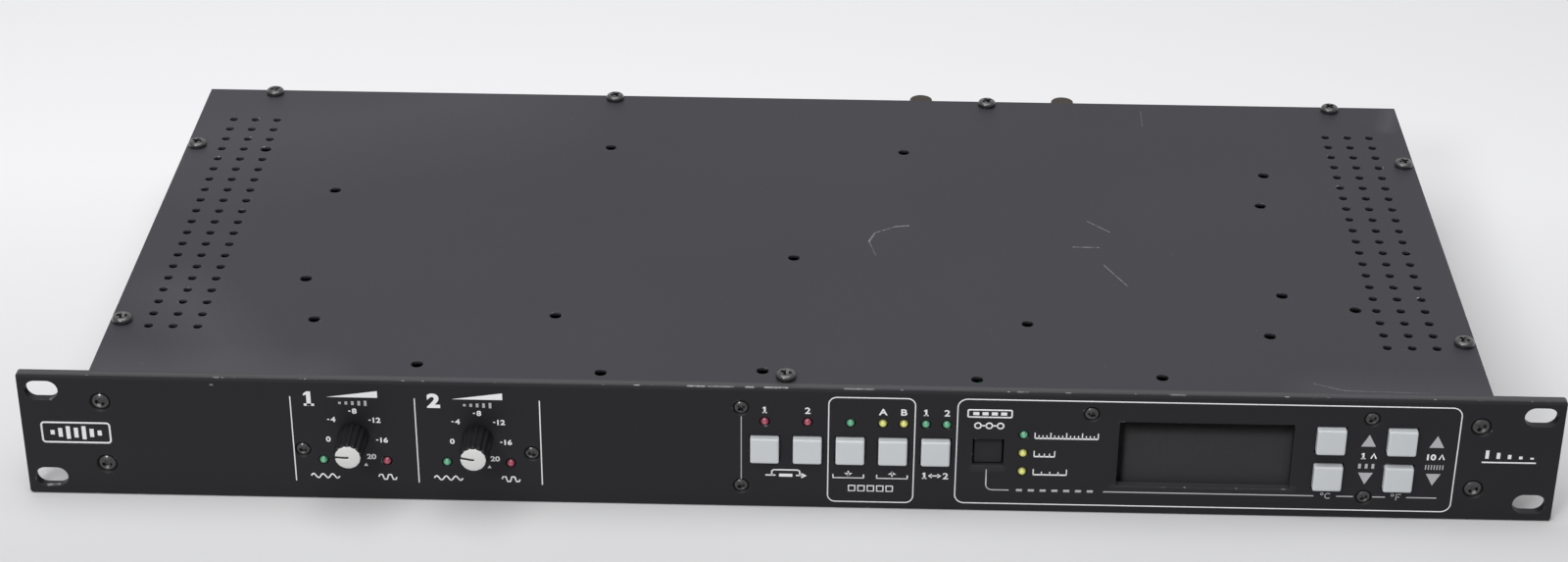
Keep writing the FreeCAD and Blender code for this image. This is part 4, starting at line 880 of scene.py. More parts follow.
@shared
def row_of_pieces(name):
    """A copy of one made piece at each point, facing one way and turned by chance."""
    tree, given, made = node_tree(name, {
        "Geometry": ("Geometry", None), "Piece": ("Object", None), "Facing": ("Vector", (0.0, 0.0, 1.0)),
        "Spin": ("Float", 0.0), "Seed": ("Int", 0), "Material": ("Material", None)})
    pattern = add_node(tree, "GeometryNodeObjectInfo", {"Object": given["Piece"]}).outputs["Geometry"]
    facing = add_node(tree, "FunctionNodeAlignRotationToVector", {"Vector": given["Facing"]}, axis="Z")
    placed = add_node(tree, "GeometryNodeInstanceOnPoints", {
        "Points": given["Geometry"], "Instance": pattern, "Rotation": facing.outputs[0]})
    chance = add_node(tree, "FunctionNodeRandomValue", {"Seed": given["Seed"]}, data_type="FLOAT")
    tree.links.new(given["Spin"], chance.inputs[3])
    turn = add_node(tree, "ShaderNodeCombineXYZ", {"Z": chance.outputs[1]})
    turned = add_node(tree, "GeometryNodeRotateInstances",
                      {"Instances": placed.outputs[0], "Rotation": turn.outputs[0]})
    close_tree(tree, turned.outputs[0], given["Material"], made)


@shared
def printed_line(name):
    """A flat line of ink of one width along each path."""
    tree, given, made = node_tree(name, {
        "Geometry": ("Geometry", None), "Width": ("Float", 0.0005), "Thickness": ("Float", 0.00003),
        "Material": ("Material", None)})
    section = add_node(tree, "GeometryNodeCurvePrimitiveQuadrilateral",
                       {"Width": given["Width"], "Height": given["Thickness"]})
    swept = add_node(tree, "GeometryNodeCurveToMesh", {
        "Curve": given["Geometry"], "Profile Curve": section.outputs[0], "Fill Caps": True})
    close_tree(tree, swept.outputs[0], given["Material"], made)


@shared
def fluted_body(name):
    """A tapered knob whose side is scalloped by evenly spaced grip flutes."""
    tree, given, made = node_tree(name, {
        "Geometry": ("Geometry", None), "Radius": ("Float", 0.005), "Front": ("Float", 0.94),
        "Length": ("Float", 0.012), "Flutes": ("Int", 14), "Flute Depth": ("Float", 0.0005),
        "Material": ("Material", None)})
    around = calculate(tree, "MULTIPLY", given["Flutes"], 12.0)
    drum = add_node(tree, "GeometryNodeMeshCylinder", {
        "Vertices": around, "Side Segments": 8, "Radius": 1.0, "Depth": given["Length"]}, fill_type="NGON")
    spot = add_node(tree, "GeometryNodeInputPosition").outputs[0]
    axes = add_node(tree, "ShaderNodeSeparateXYZ", {0: spot}).outputs
    angle = calculate(tree, "ARCTAN2", axes["Y"], axes["X"])
    wave = calculate(tree, "COSINE", calculate(tree, "MULTIPLY", angle, given["Flutes"]))
    groove = calculate(tree, "MAXIMUM", calculate(tree, "MULTIPLY_ADD", wave, 0.72, 0.28), 0.0)
    along = calculate(tree, "ADD", calculate(tree, "DIVIDE", axes["Z"], given["Length"]), 0.5)
    taper = calculate(tree, "MULTIPLY_ADD", along, calculate(tree, "SUBTRACT", given["Front"], 1.0), 1.0)
    reach = calculate(tree, "SUBTRACT", calculate(tree, "MULTIPLY", taper, given["Radius"]),
                      calculate(tree, "MULTIPLY", groove, given["Flute Depth"]))
    flat = add_node(tree, "ShaderNodeCombineXYZ", {
        "X": calculate(tree, "MULTIPLY", axes["X"], reach),
        "Y": calculate(tree, "MULTIPLY", axes["Y"], reach), "Z": axes["Z"]})
    shaped = add_node(tree, "GeometryNodeSetPosition",
                      {"Geometry": drum.outputs["Mesh"], "Position": flat.outputs[0]})
    close_tree(tree, shaped.outputs[0], given["Material"], made)


def grow(name, maker, data=None, **inputs):
    """Run a tree on a carrier of its own and return the plain mesh that comes out."""
    tree = maker()
    carrier = linked(name, data or bpy.data.meshes.new(name))
    modifier = carrier.modifiers.new(tree.name, "NODES")
    modifier.node_group = tree
    labels = {label.replace("_", " "): value for label, value in inputs.items()}
    for item in tree.interface.items_tree:
        if item.in_out == "INPUT" and item.name in labels:
            modifier[item.identifier] = labels[item.name]
    return plain_mesh(carrier)


def set_in_row(name, pattern, places, facing, material, spin=0.0, seed=0):
    """Copies of a pattern mesh at the given places, as one mesh."""
    points = bpy.data.meshes.new(f"{name}_places")
    points.from_pydata([tuple(place) for place in places], [], [])
    template = linked(f"{name}_pattern", pattern)
    mesh = grow(name, row_of_pieces, points, Piece=template, Facing=facing, Spin=spin, Seed=seed,
                Material=material)
    bpy.data.objects.remove(template)
    return mesh


# ---------------------------------------------------------------- screws
def cross_cutter(span, arm, top, depth):
    """The tapered cross that a driver fits, from just over a head's top down to its depth."""
    half, thin = span / 2, arm / 2
    work = bmesh.new()
    rings = []
    for height, reach in ((top + depth * 0.5, half * 1.2), (top - depth, half * 0.4)):
        corner = [(reach, -thin), (reach, thin), (thin, thin)]
        outline = [(x * cos(turn) - z * sin(turn), x * sin(turn) + z * cos(turn))
                   for turn in (0, pi / 2, pi, 1.5 * pi) for x, z in corner]
        rings.append([work.verts.new((x, y, height)) for x, y in outline])
    top, bottom = rings
    work.faces.new(top)
    work.faces.new(reversed(bottom))
    for step in range(len(top)):
        work.faces.new((top[step - 1], top[step], bottom[step], bottom[step - 1]))
    bmesh.ops.recalc_face_normals(work, faces=work.faces)
    return mesh_from(work, "cross")


def screw_pattern(radius, head, shank, reach, flat):
    """One screw with its axis on Z and the top of its head at height zero."""
    look = settings().screw
    top = head / 2 if flat else 0.0
    if flat:
        edge = radius * look.oval_share
        curve = edge * look.oval_curve
        crown = arc_points(0, top - curve, curve, 90, degrees(acos(edge / curve)), 7)
        crown[0] = (0, top)
        low = crown[-1][1] - 0.1 * MM
        profile = [*crown, (edge, low), (shank, low - edge + shank)]
    else:
        crown = head * 0.55
        lip = 0.1 * MM
        profile = [(0, 0), *arc_points(radius - crown, -crown, crown, 90, 0, 5),
                   (radius, lip - head), (radius - lip, -head), (shank, -head)]
    profile += [(shank, -reach), (0, -reach)]
    carrier = linked("screw", smooth_mesh(lathe(profile, steps=36), "screw", sharp=35.0))
    cutter = linked("driver", cross_cutter(2 * radius * look.cross_width, 2 * radius * look.cross_arm,
                                           top, head * 0.85))
    recess = carrier.modifiers.new("Recess", "BOOLEAN")
    recess.operation = "DIFFERENCE"
    recess.object = cutter
    recess.solver = "EXACT"
    mesh = plain_mesh(carrier)
    bpy.data.objects.remove(cutter)
    return mesh


def fit_screws(node, facing, head, shank, flat=False):
    """Driver-headed screws in the places of a CAD node's plain ones."""
    boxes = solids(node)
    low, high = boxes[0]
    size = high - low
    axis = max(range(3), key=lambda index: abs(facing[index]))
    across = size[(axis + 1) % 3]
    places = [(low + high) / 2 + facing * size[axis] / 2 for low, high in boxes]
    pattern = screw_pattern(across / 2, head, shank, size[axis], flat)
    mesh = set_in_row(f"{node}_finished", pattern, places, facing, screw_black(), 2 * pi,
                      settings().screw.seed)
    made = piece(f"{node}_finished", mesh, "chassis", None)
    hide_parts(node)


class RACK_UNIT_OT_cover_screws(bpy.types.Operator):
    """Nine pan-head screws with cross recesses that hold the cover"""
    bl_idname = "rack_unit.cover_screws"
    bl_label = "Cover screws"

    def execute(self, context):
        look = settings().screw
        fit_screws("cover_screws", UP, look.pan_height, look.shank)
        return {"FINISHED"}


class RACK_UNIT_OT_panel_screws(bpy.types.Operator):
    """Countersunk screws in the front panel"""
    bl_idname = "rack_unit.panel_screws"
    bl_label = "Panel screws"

    def execute(self, context):
        look = settings().screw
        fit_screws("panel_side_screws", TO_FRONT, look.sunk_height, look.shank, flat=True)
        fit_screws("board_screws_front", TO_FRONT, look.small_sunk_height, look.small_shank, flat=True)
        return {"FINISHED"}


class RACK_UNIT_OT_rear_screws(bpy.types.Operator):
    """Pan-head screws in the connector flanges and the rear wall"""
    bl_idname = "rack_unit.rear_screws"
    bl_label = "Rear screws"

    def execute(self, context):
        look = settings().screw
        fit_screws("rear_wall_screws", TO_REAR, look.small_pan_height, look.small_shank)
        return {"FINISHED"}


# ---------------------------------------------------------------- case, cover and panel
class RACK_UNIT_OT_case(bpy.types.Operator):
    """Folded tray, rear wall and the bracket behind the panel"""
    bl_idname = "rack_unit.case"
    bl_label = "Case"

    def execute(self, context):
        width = settings().paint.edge_round
        soften("chassis_tray", "chassis", case_paint(), width)
        soften("rear_panel", "chassis", case_paint(), width)
        soften("cover_bracket", "chassis", zinc_steel(), width)
        return {"FINISHED"}


class RACK_UNIT_OT_cover(bpy.types.Operator):
    """Perforated cover with dulled, scratched paint"""
    bl_idname = "rack_unit.cover"
    bl_label = "Cover"

    def execute(self, context):
        soften("top_cover", "chassis", cover_paint(), settings().paint.edge_round)
        return {"FINISHED"}


class RACK_UNIT_OT_front_panel(bpy.types.Operator):
    """Slotted front panel in satin black paint"""
    bl_idname = "rack_unit.front_panel"
    bl_label = "Front panel"

    def execute(self, context):
        soften("front_panel", "chassis", panel_paint(), settings().paint.edge_round)
        return {"FINISHED"}


# ---------------------------------------------------------------- print on the panel
class Ink:
    """Print on a flat face: paths, filled shapes and digits, in millimetres on that face."""

    def __init__(self, name, material, origin, across):
        self.name = name
        self.material = material
        outward = across.cross(UP)
        self.place = Matrix((across, UP, outward)).transposed().to_4x4()
        self.place.translation = origin
        self.paths = {}
        self.shapes = []
        self.digits = []

    def line(self, points, width=None, closed=False):
        width = width or settings().legend.stroke_width / MM
        self.paths.setdefault(width, []).append((points, closed))

    def frame_box(self, left, low, right, high, radius, width=None):
        """A rectangle of line with round corners."""
        corners = ((right, high, 0), (left, high, 90), (left, low, 180), (right, low, 270))
        points = []
        for x, z, turn in corners:
            inset_x = x - radius if x == right else x + radius
            inset_z = z - radius if z == high else z + radius
            points += arc_points(inset_x, inset_z, radius, turn, turn + 90, 8)
        self.line(points, width or settings().legend.line_width / MM, closed=True)

    def shape(self, points):
        self.shapes.append(points)

    def bar(self, x, z, width, rise):
        """A filled upright rectangle about its centre."""
        self.shape([(x - width / 2, z - rise / 2), (x + width / 2, z - rise / 2),
                    (x + width / 2, z + rise / 2), (x - width / 2, z + rise / 2)])

    def digit(self, text, x, z, rise, weight=0.02):
        """A number or a letter; the number one by itself is drawn with a flag and a foot."""
        if text == "1":
            half = rise * 0.13
            self.shape([(x - half, z - rise / 2), (x + half, z - rise / 2), (x + half, z + rise / 2),
                        (x - half * 0.7, z + rise / 2), (x - rise * 0.31, z + rise * 0.34),
                        (x - rise * 0.31, z + rise * 0.2), (x - half, z + rise * 0.27)])
            self.bar(x, z - rise * 0.43, rise * 0.62, rise * 0.16)
        else:
            self.digits.append((text, x, z, rise, weight))

    def build(self, body, slot):
        parts = [self.swept(width, paths) for width, paths in self.paths.items()]
        parts += [self.filled()] if self.shapes else []
        parts += [self.written(*digit) for digit in self.digits]
        work = bmesh.new()
        for part in parts:
            work.from_mesh(part)
            bpy.data.meshes.remove(part)
        bmesh.ops.transform(work, matrix=self.place, verts=work.verts)
        piece(self.name, mesh_from(work, self.name), body, self.material)

    def swept(self, width, paths):
        curve = bpy.data.curves.new(f"{self.name}_paths", "CURVE")
        curve.dimensions = "3D"
        curve.twist_mode = "Z_UP"
        for points, closed in paths:
            spline = curve.splines.new("POLY")
            spline.points.add(len(points) - 1)
            spline.use_cyclic_u = closed
            for point, (x, z) in zip(spline.points, points):
                point.co = (x * MM, z * MM, 0, 1)
        return grow(self.name, printed_line, curve, Width=width * MM,
                    Thickness=2 * settings().legend.thickness, Material=self.material)

    def filled(self):
        work = bmesh.new()
        thickness = settings().legend.thickness
        for points in self.shapes:
            face = work.faces.new([work.verts.new((x * MM, z * MM, 0)) for x, z in points])
            face.normal_update()
            if face.normal.z > 0:
                face.normal_flip()
            lifted = bmesh.ops.extrude_face_region(work, geom=[face], use_keep_orig=True)["geom"]
            for item in lifted:
                if isinstance(item, bmesh.types.BMVert):
                    item.co.z += thickness
        bmesh.ops.recalc_face_normals(work, faces=work.faces)
        return mesh_from(work, f"{self.name}_shapes")

    def written(self, text, x, z, rise, weight):
        """A digit or single letter scaled to its height about its centre."""
        font = bpy.data.curves.new(f"{self.name}_digit", "FONT")
        font.body = text
        font.resolution_u = 6
        font.offset = weight
        font.extrude = 0.5
        mesh = plain_mesh(linked(font.name, font))
        corners = [[vertex.co[axis] for vertex in mesh.vertices] for axis in range(3)]
        low = Vector(map(min, corners))
        high = Vector(map(max, corners))
        size = rise * MM / (high.y - low.y)
        centre = (low + high) / 2
        wide = size * settings().legend.digit_stretch
        mesh.transform(Matrix.Diagonal((wide, size, 2 * settings().legend.thickness, 1))
                       @ Matrix.Translation((-centre.x, -centre.y, 0)))
        mesh.transform(Matrix.Translation((x * MM, z * MM, 0)))
        return mesh


def tick_scale(ink, x, z, span, count, rise):
    """A measuring scale: a base line with evenly spaced ticks, every fourth one taller."""
    ink.line([(x, z - rise / 2), (x + span, z - rise / 2)])
    for step in range(count + 1):
        tall = rise if step % 4 == 0 else rise * 0.55
        ink.bar(x + span * step / count, z - rise / 2 + tall / 2, 0.34, tall)


def wave(ink, x, z, span, rise, turns, limit=1.0):
    """A sine wave about a centre, cut off at a share of its height where limit is below one."""
    steps = 12 * turns
    points = []
    for step in range(steps + 1):
        swing = sin(2 * pi * turns * step / steps)
        held = max(-limit, min(limit, swing)) / limit
        points.append((x + span * (step / steps - 0.5), z + held * rise / 2))
    ink.line(points)


def tray_arrow(ink, x, z, span, rise, upward):
    """A flat tray with an arrow into it, or out of it."""
    side = span / 2
    ink.line([(x - side, z), (x - side, z - rise / 2), (x + side, z - rise / 2), (x + side, z)])
    tip = rise / 2 if upward else -rise * 0.22
    tail = -rise * 0.22 if upward else rise / 2
    ink.line([(x, z + tip), (x, z + tail)])
    back = -1.1 if upward else 1.1
    ink.shape([(x, z + tip), (x - 1.3, z + tip + back), (x + 1.3, z + tip + back)])


def dial_print(ink, fine, index, x, z):
    """Everything round one knob: number, level ramp, dial numbers and the two lamps' signs."""
    legend = settings().legend
    ink.digit(str(index + 1), x - 13.3, z + 13.2, legend.channel_rise / MM, weight=0.045)
    ramp_left, ramp_right = x - 7.6, x + 8.2
    ramp_low, ramp_high = z + 13.9, z + 16.3
    ink.shape([(ramp_left, ramp_low), (ramp_right, ramp_low), (ramp_right, ramp_high)])
    for step in range(5):
        fine.bar(x + 0.3 + (step - 2) * 2.0, z + 11.8, 0.85, 0.8 + 0.27 * step)
    reach = legend.dial_radius / MM
    numbers = ("0", "4", "8", "12", "16", "20")
    first_angle, angle_step = 190, 50
    for step, text in enumerate(numbers):
        turn = radians(first_angle - angle_step * step)
        place_x, place_z = x + 0.7 + reach * cos(turn), z + reach * sin(turn)
        ink.digit(text, place_x, place_z, legend.dial_rise / MM, weight=0.03)
        if text not in (numbers[0], numbers[-1]):
            dash = place_x - 0.85 - 0.65 * len(text)
            ink.bar(dash, place_z, 0.7, 0.36)
    end_mark = z - 11.2
    ink.shape([(x + 2.6, end_mark), (x + 3.9, end_mark), (x + 3.3, end_mark + 1.1)])
    signs = z - 15.2
    wave(ink, x - 9.8, signs, span=9.0, rise=1.5, turns=3)
    wave(ink, x + 9.9, signs, span=5.6, rise=1.7, turns=2, limit=0.45)


class RACK_UNIT_OT_panel_print(bpy.types.Operator):
    """White and grey print on the front panel: frames, dividers, numbers and plain signs"""
    bl_idname = "rack_unit.panel_print"
    bl_label = "Panel print"

    def execute(self, context):
        low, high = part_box("front_panel")
        origin = Vector((0, low.y, low.z))
        across = Vector((1, 0, 0))
        self.white = Ink("panel_print_white", print_white(), origin, across)
        self.grey = Ink("panel_print_grey", print_grey(), origin, across)
        self.print_levels()
        self.print_keys()
        self.print_display()
        self.print_ends(low.x / MM, high.x / MM)
        self.white.build("chassis", "panel_paint")
        self.grey.build("chassis", "panel_paint")
        return {"FINISHED"}

    def spot(self, node):
        place = middle(node) / MM
        return place.x, place.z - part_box("front_panel")[0].z / MM

    def print_levels(self):
        line = settings().legend.line_width / MM
        knobs = [self.spot("knob_1"), self.spot("knob_2")]
        for index, (x, z) in enumerate(knobs):
            dial_print(self.white, self.grey, index, x, z)
        low, high = 6.3, 37.3
        for x in (knobs[0][0] - 19.1, knobs[0][0] + 19.7, knobs[1][0] + 19.7):
            self.white.line([(x, low), (x, high)], line)

    def print_keys(self):
        ink = self.white
        rise = settings().legend.digit_rise / MM
        line = settings().legend.line_width / MM
        keys = [self.spot(node) for node in ("bypass_button_1", "bypass_button_2", "store_button",
                                             "recall_button", "channel_button")]
        first, second, store, recall, channel = [x for x, z in keys]
        z = keys[0][1]
        over, under = z + 14.1, z - 9.0
        from_middle = 3.25
        for text, x in (("1", first), ("2", second), ("A", recall - from_middle),
                        ("B", recall + from_middle), ("1", channel - from_middle),
                        ("2", channel + from_middle)):
            ink.digit(text, x, over, rise)
        divider = first - 7.3
        self.grey.line([(divider, 10.0), (divider, 33.0)], width=0.35)
        self.print_bypass((first + second) / 2, under)
        tray_arrow(ink, store - 0.4, under, span=9.6, rise=2.6, upward=False)
        tray_arrow(ink, recall, under, span=9.6, rise=2.6, upward=True)
        self.print_swap(channel, under)
        ink.frame_box(store - 6.8, 2.25, recall + 6.7, 40.5, radius=2.5, width=line)
        pitch, half = 2.95, 1.0
        for step in range(5):
            x = (store + recall) / 2 + (step - 2) * pitch
            ink.line([(x - half, z - 15.1), (x + half, z - 15.1), (x + half, z - 13.1),
                      (x - half, z - 13.1)], 0.48, closed=True)

    def print_swap(self, x, z):
        """Numbers one and two with a double arrow between them."""
        ink = self.white
        rise = 2.3
        ink.digit("1", x - 3.2, z, rise)
        ink.line([(x - 1.3, z), (x + 1.3, z)])
        for side in (-1, 1):
            tip, back, half = x + 2.1 * side, x + 0.9 * side, 0.9
            ink.shape([(tip, z), (back, z + half), (back, z - half)])
        ink.digit("2", x + 3.4, z, rise)

    def print_bypass(self, x, z):
        """A box on a signal line with a hop that leads round it."""
        ink = self.white
        path, shoulder, bend = z - 0.8, z + 0.4, 0.8
        ink.line([(x - 6.4, path), (x - 3.2, path)])
        ink.line([(x + 3.2, path), (x + 5.2, path)])
        ink.bar(x, z - 0.75, 4.2, 1.1)
        ink.line([(x - 4.4, path), *arc_points(x - 3.6, shoulder, bend, 180, 90, 4),
                  *arc_points(x + 3.6, shoulder, bend, 90, 0, 4), (x + 4.4, path)])
        ink.shape([(x + 6.6, path), (x + 4.9, z + 0.2), (x + 4.9, z - 1.8)])

    def print_display(self):
        ink = self.white
        legend = settings().legend
        line = legend.line_width / MM
        mode_x, mode_z = self.spot("mode_button")
        coarse_x, up_z = self.spot("coarse_up_button")
        fine_x, down_z = self.spot("fine_down_button")
        screw_x = (coarse_x + fine_x) / 2 + 1.1
        ink.frame_box(mode_x - 9.9, 2.6, fine_x + 17.5, 40.7, radius=3.0, width=line)
        ink.frame_box(mode_x - 6.7, 34.3, mode_x + 6.9, 36.9, radius=0.4, width=0.5)
        for step in range(4):
            ink.bar(mode_x - 4.2 + 2.87 * step, 35.6, 1.9, 1.1)
        chain_z = 31.2
        for step in range(3):
            ink.line(arc_points(mode_x - 3.5 + 3.5 * step, chain_z, 1.0, 0, 330, 10), 0.5, closed=True)
        for start, end in ((-2.4, -1.1), (1.1, 2.4)):
            ink.line([(mode_x + start, chain_z), (mode_x + end, chain_z)])
        lamp_x, lamp_pitch = mode_x + 10.85, 6.7
        for z, span, count in ((mode_z + lamp_pitch, 19.6, 16), (mode_z, 6.4, 4),
                               (mode_z - lamp_pitch, 10.4, 4)):
            tick_scale(ink, lamp_x + 3.5, z - 0.1, span, count, rise=2.1)
        self.print_leader(mode_x, screw_x, coarse_x, fine_x)
        for x, text, bars in ((screw_x - 0.3, "1", 3), (fine_x + 10.9, "10", 7)):
            self.print_step(x, text, bars, up_z, down_z - 0.5)

    def print_step(self, x, text, bars, up_z, down_z):
        """Arrows up and down beside a pair of keys, with the size of the step between them."""
        for z, level in ((up_z, 1), (down_z, -1)):
            self.grey.shape([(x - 2.3, z - 2.1 * level), (x + 2.3, z - 2.1 * level),
                             (x, z + 2.2 * level)])
        self.white.digit(text, x - 1.2, 22.7, 2.2, weight=0.035)
        self.white.line([(x + 1.2, 21.8), (x + 2.0, 23.6), (x + 2.8, 21.8)])
        pitch = 6.2 / bars
        for step in range(bars):
            self.grey.bar(x + (step - (bars - 1) / 2) * pitch, 19.0, pitch * 0.42, 1.7)

    def print_leader(self, mode_x, screw_x, coarse_x, fine_x):
        """The thin line from the dark key along the bottom of the frame, with its signs."""
        grey = self.grey
        z, thin, bend = 7.64, 0.42, 2.0
        start_x, start_z = mode_x - 0.3, 15.2
        grey.line([(start_x, start_z), (start_x, z + bend),
                   *arc_points(start_x + bend, z + bend, bend, 180, 270, 6), (mode_x + 7.0, z)], thin)
        for step in range(7):
            start = mode_x + 9.3 + 3.7 * step
            grey.line([(start, z), (start + 1.9, z)], width=0.9)
        grey.line([(mode_x + 36.6, z), (coarse_x - 3.6, z)], thin)
        self.print_degrees(coarse_x, fine_x, z)
        for start, end in ((coarse_x + 3.5, screw_x - 3.3), (screw_x + 2.7, fine_x - 3.2),
                           (fine_x + 3.4, fine_x + 12.8)):
            grey.line([(start, z), (end, z)], thin)

    def print_degrees(self, coarse_x, fine_x, z):
        """The two temperature signs: a ring before a C and before an F, drawn as lines."""
        grey = self.grey
        width = 0.36
        for x in (coarse_x, fine_x):
            grey.line(arc_points(x - 1.0, z + 0.8, 0.42, 0, 315, 7), 0.3, closed=True)
        grey.line(arc_points(coarse_x + 0.9, z + 0.1, 0.95, 45, 315, 8), width)
        stem, top = fine_x + 0.2, z + 1.1
        grey.line([(fine_x + 1.7, top), (stem, top), (stem, z - 1.0)], width)
        grey.line([(stem, z + 0.1), (fine_x + 1.3, z + 0.1)], width)

    def print_ends(self, left, right):
        """Plain marks at the two ends: a framed row of level bars and a fading echo."""
        ink = self.white
        ink.frame_box(left + 6.2, 18.9, left + 27.6, 26.1, radius=1.0, width=0.6)
        levels = (1.6, 3.2, 4.6, 3.6, 4.8, 3.0, 1.8)
        for step, rise in enumerate(levels):
            ink.bar(left + 9.5 + 2.47 * step, 22.5, 1.3, rise)
        echoes, foot = (3.0, 2.2, 1.5, 1.0, 0.6), 22.6
        for step, rise in enumerate(echoes):
            ink.bar(right - 22.6 + 3.5 * step, foot + rise / 2, 1.1, rise)
        ink.line([(right - 24.0, 21.2), (right - 7.2, 21.2)], width=0.5)


# ---------------------------------------------------------------- controls
class RACK_UNIT_OT_knobs(bpy.types.Operator):
    """Fluted black knobs with domed white caps and dark pointers"""
    bl_idname = "rack_unit.knobs"
    bl_label = "Knobs"

    def execute(self, context):
        look = settings().knob
        for index, (body, (knob, cap)) in enumerate(KNOBS.items()):
            self.make_body(body, knob, look)
            soften(cap, body, cap_white(), width=0.15 * MM, angle=40.0)
            self.make_pointer(body, cap, index * look.pointer_turn, look)
        return {"FINISHED"}

    def make_body(self, body, node, look):
        low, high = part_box(node)
        reach = high.y - low.y
        mesh = grow(f"{node}_finished", fluted_body, Radius=(high.x - low.x) / 2,
                    Front=look.front_share, Length=reach, Flutes=look.flutes,
                    Flute_Depth=look.flute_depth, Material=knob_black())
        work = bmesh.new()
        work.from_mesh(mesh)
        rims = [edge for edge in work.edges if edge.calc_face_angle(0) > radians(60)]
        bmesh.ops.bevel(work, geom=rims, offset=0.3 * MM, segments=2, profile=0.5, affect="EDGES",
                        clamp_overlap=True)
        turn = TO_FRONT.to_track_quat("Z", "Y").to_matrix().to_4x4()
        turn.translation = (low + high) / 2
        bmesh.ops.transform(work, matrix=turn, verts=work.verts)
        shell = smooth_mesh(work, node, sharp=45.0)
        made = piece(f"{node}_finished", shell, body, knob_black())
        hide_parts(node)

    def make_pointer(self, body, cap, turn, look):
        """A dark line from the cap's middle to its left edge, lying in the cap's groove."""
        low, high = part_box(cap)
        radius = (high.x - low.x) / 2
        heart = front_middle(low, high)
        work = bmesh.new()
        bar = bmesh.ops.create_cube(work, size=1.0)["verts"]
        across = Vector((-cos(turn), 0, sin(turn)))
        side = across.cross(TO_FRONT)
        for vertex in bar:
            along = radius * (0.94 if vertex.co.x > 0 else 0.02)
            depth = (0.02 if vertex.co.z > 0 else 0.3) * MM
            sag = 0.28 * MM * (along / radius) ** 2
            vertex.co = (heart + across * along + side * vertex.co.y * look.pointer_width
                         - TO_FRONT * (depth + sag))
        bmesh.ops.recalc_face_normals(work, faces=work.faces)
        piece(f"{cap}_pointer", mesh_from(work, f"{cap}_pointer"), body, pointer_dark())


class RACK_UNIT_OT_keys(bpy.types.Operator):
    """Nine pale key caps and the dark recessed one"""
    bl_idname = "rack_unit.keys"
    bl_label = "Keys"

    def execute(self, context):
        look = settings().key
        for body in WHITE_KEYS:
            node = body.replace("_key", "_button")
            soften(node, body, key_white(), look.edge_round)
        soften("mode_button", "mode_key", key_dark(), look.edge_round * 0.6)
        return {"FINISHED"}


class RACK_UNIT_OT_lamps(bpy.types.Operator):
    """Domed lamps of diffusing resin over the keys and beside the knobs"""
    bl_idname = "rack_unit.lamps"
    bl_label = "Lamps"

    def execute(self, context):
        for node, material in (("green_lamps", lamp_green), ("red_lamps", lamp_red),
                               ("yellow_lamps", lamp_yellow)):
            boxes = solids(node)
            places = [front_middle(low, high) for low, high in boxes]
            low, high = boxes[0]
            mesh = set_in_row(f"{node}_finished", self.lamp_pattern(high - low), places, TO_FRONT,
                              material())
            made = piece(f"{node}_finished", mesh, "chassis", None)
            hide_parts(node)
        return {"FINISHED"}

    def lamp_pattern(self, size):
        """A dome on a straight barrel with a flange; core runs from its middle to its rim."""
        radius = settings().lamp.barrel / 2
        flange = size.x / 2
        depth = min(size.y, 5.3 * MM)
        shoulder = 1.0 * MM - depth
        profile = arc_points(0, -radius, radius, 90, 0, 8)
        profile[0] = (0, 0)
        profile += [(radius, shoulder), (flange, shoulder), (flange, -depth), (0, -depth)]
        mesh = smooth_mesh(lathe(profile, steps=28), "lamp")
        core = mesh.attributes.new("core", "FLOAT", "POINT")
        for vertex, value in zip(mesh.vertices, core.data):
            value.value = min(1.0, Vector((vertex.co.x, vertex.co.y)).length / radius)
        return mesh


class RACK_UNIT_OT_display(bpy.types.Operator):
    """Smoked window with the unlit digits of the display behind it"""
    bl_idname = "rack_unit.display"
    bl_label = "Display"

    def execute(self, context):
        look = settings().display
        soften("display_lens", "chassis", smoked_lens(), width=0.15 * MM)
        carry_over("display_module", display_face())
        low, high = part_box("display_module")
        pitch = (high.x - low.x) / (look.digit_count + 0.6)
        before = front_middle(low, high) + TO_FRONT * 0.03 * MM
        places = [before + Vector(((step - (look.digit_count - 1) / 2) * pitch, 0, 0))
                  for step in range(look.digit_count)]
        mesh = set_in_row("display_segments", self.digit_pattern(look), places, TO_FRONT, segment_pale())
        piece("display_segments", mesh, "chassis", None)
        return {"FINISHED"}

    def digit_pattern(self, look):
        """Seven bars with pointed ends in the shape of an eight, and a point beside them."""
        across = look.digit_width / 2
        up = look.digit_rise / 2
        half = look.segment / 2
        work = bmesh.new()
        upright = [(side * across, level * up / 2, True) for side in (-1, 1) for level in (-1, 1)]
        level_bars = [(0, level * up, False) for level in (-1, 0, 1)]
        for x, z, stands in upright + level_bars:
            reach = (up / 2 if stands else across) - half * 0.3
            outline = [(reach, 0), (reach - half, half), (half - reach, half), (-reach, 0),
                       (half - reach, -half), (reach - half, -half)]
            turned = [(x - b, z + a) if stands else (x + a, z + b) for a, b in outline]
            work.faces.new([work.verts.new((a, b, 0)) for a, b in turned])
        work.faces.new([work.verts.new((a, b, 0)) for a, b in
                        arc_points(across + 1.6 * half, -up, half, 0, 330, 11)])
        bmesh.ops.recalc_face_normals(work, faces=work.faces)
        for face in work.faces:
            if face.normal.z < 0:
                face.normal_flip()
        return mesh_from(work, "display_digit")


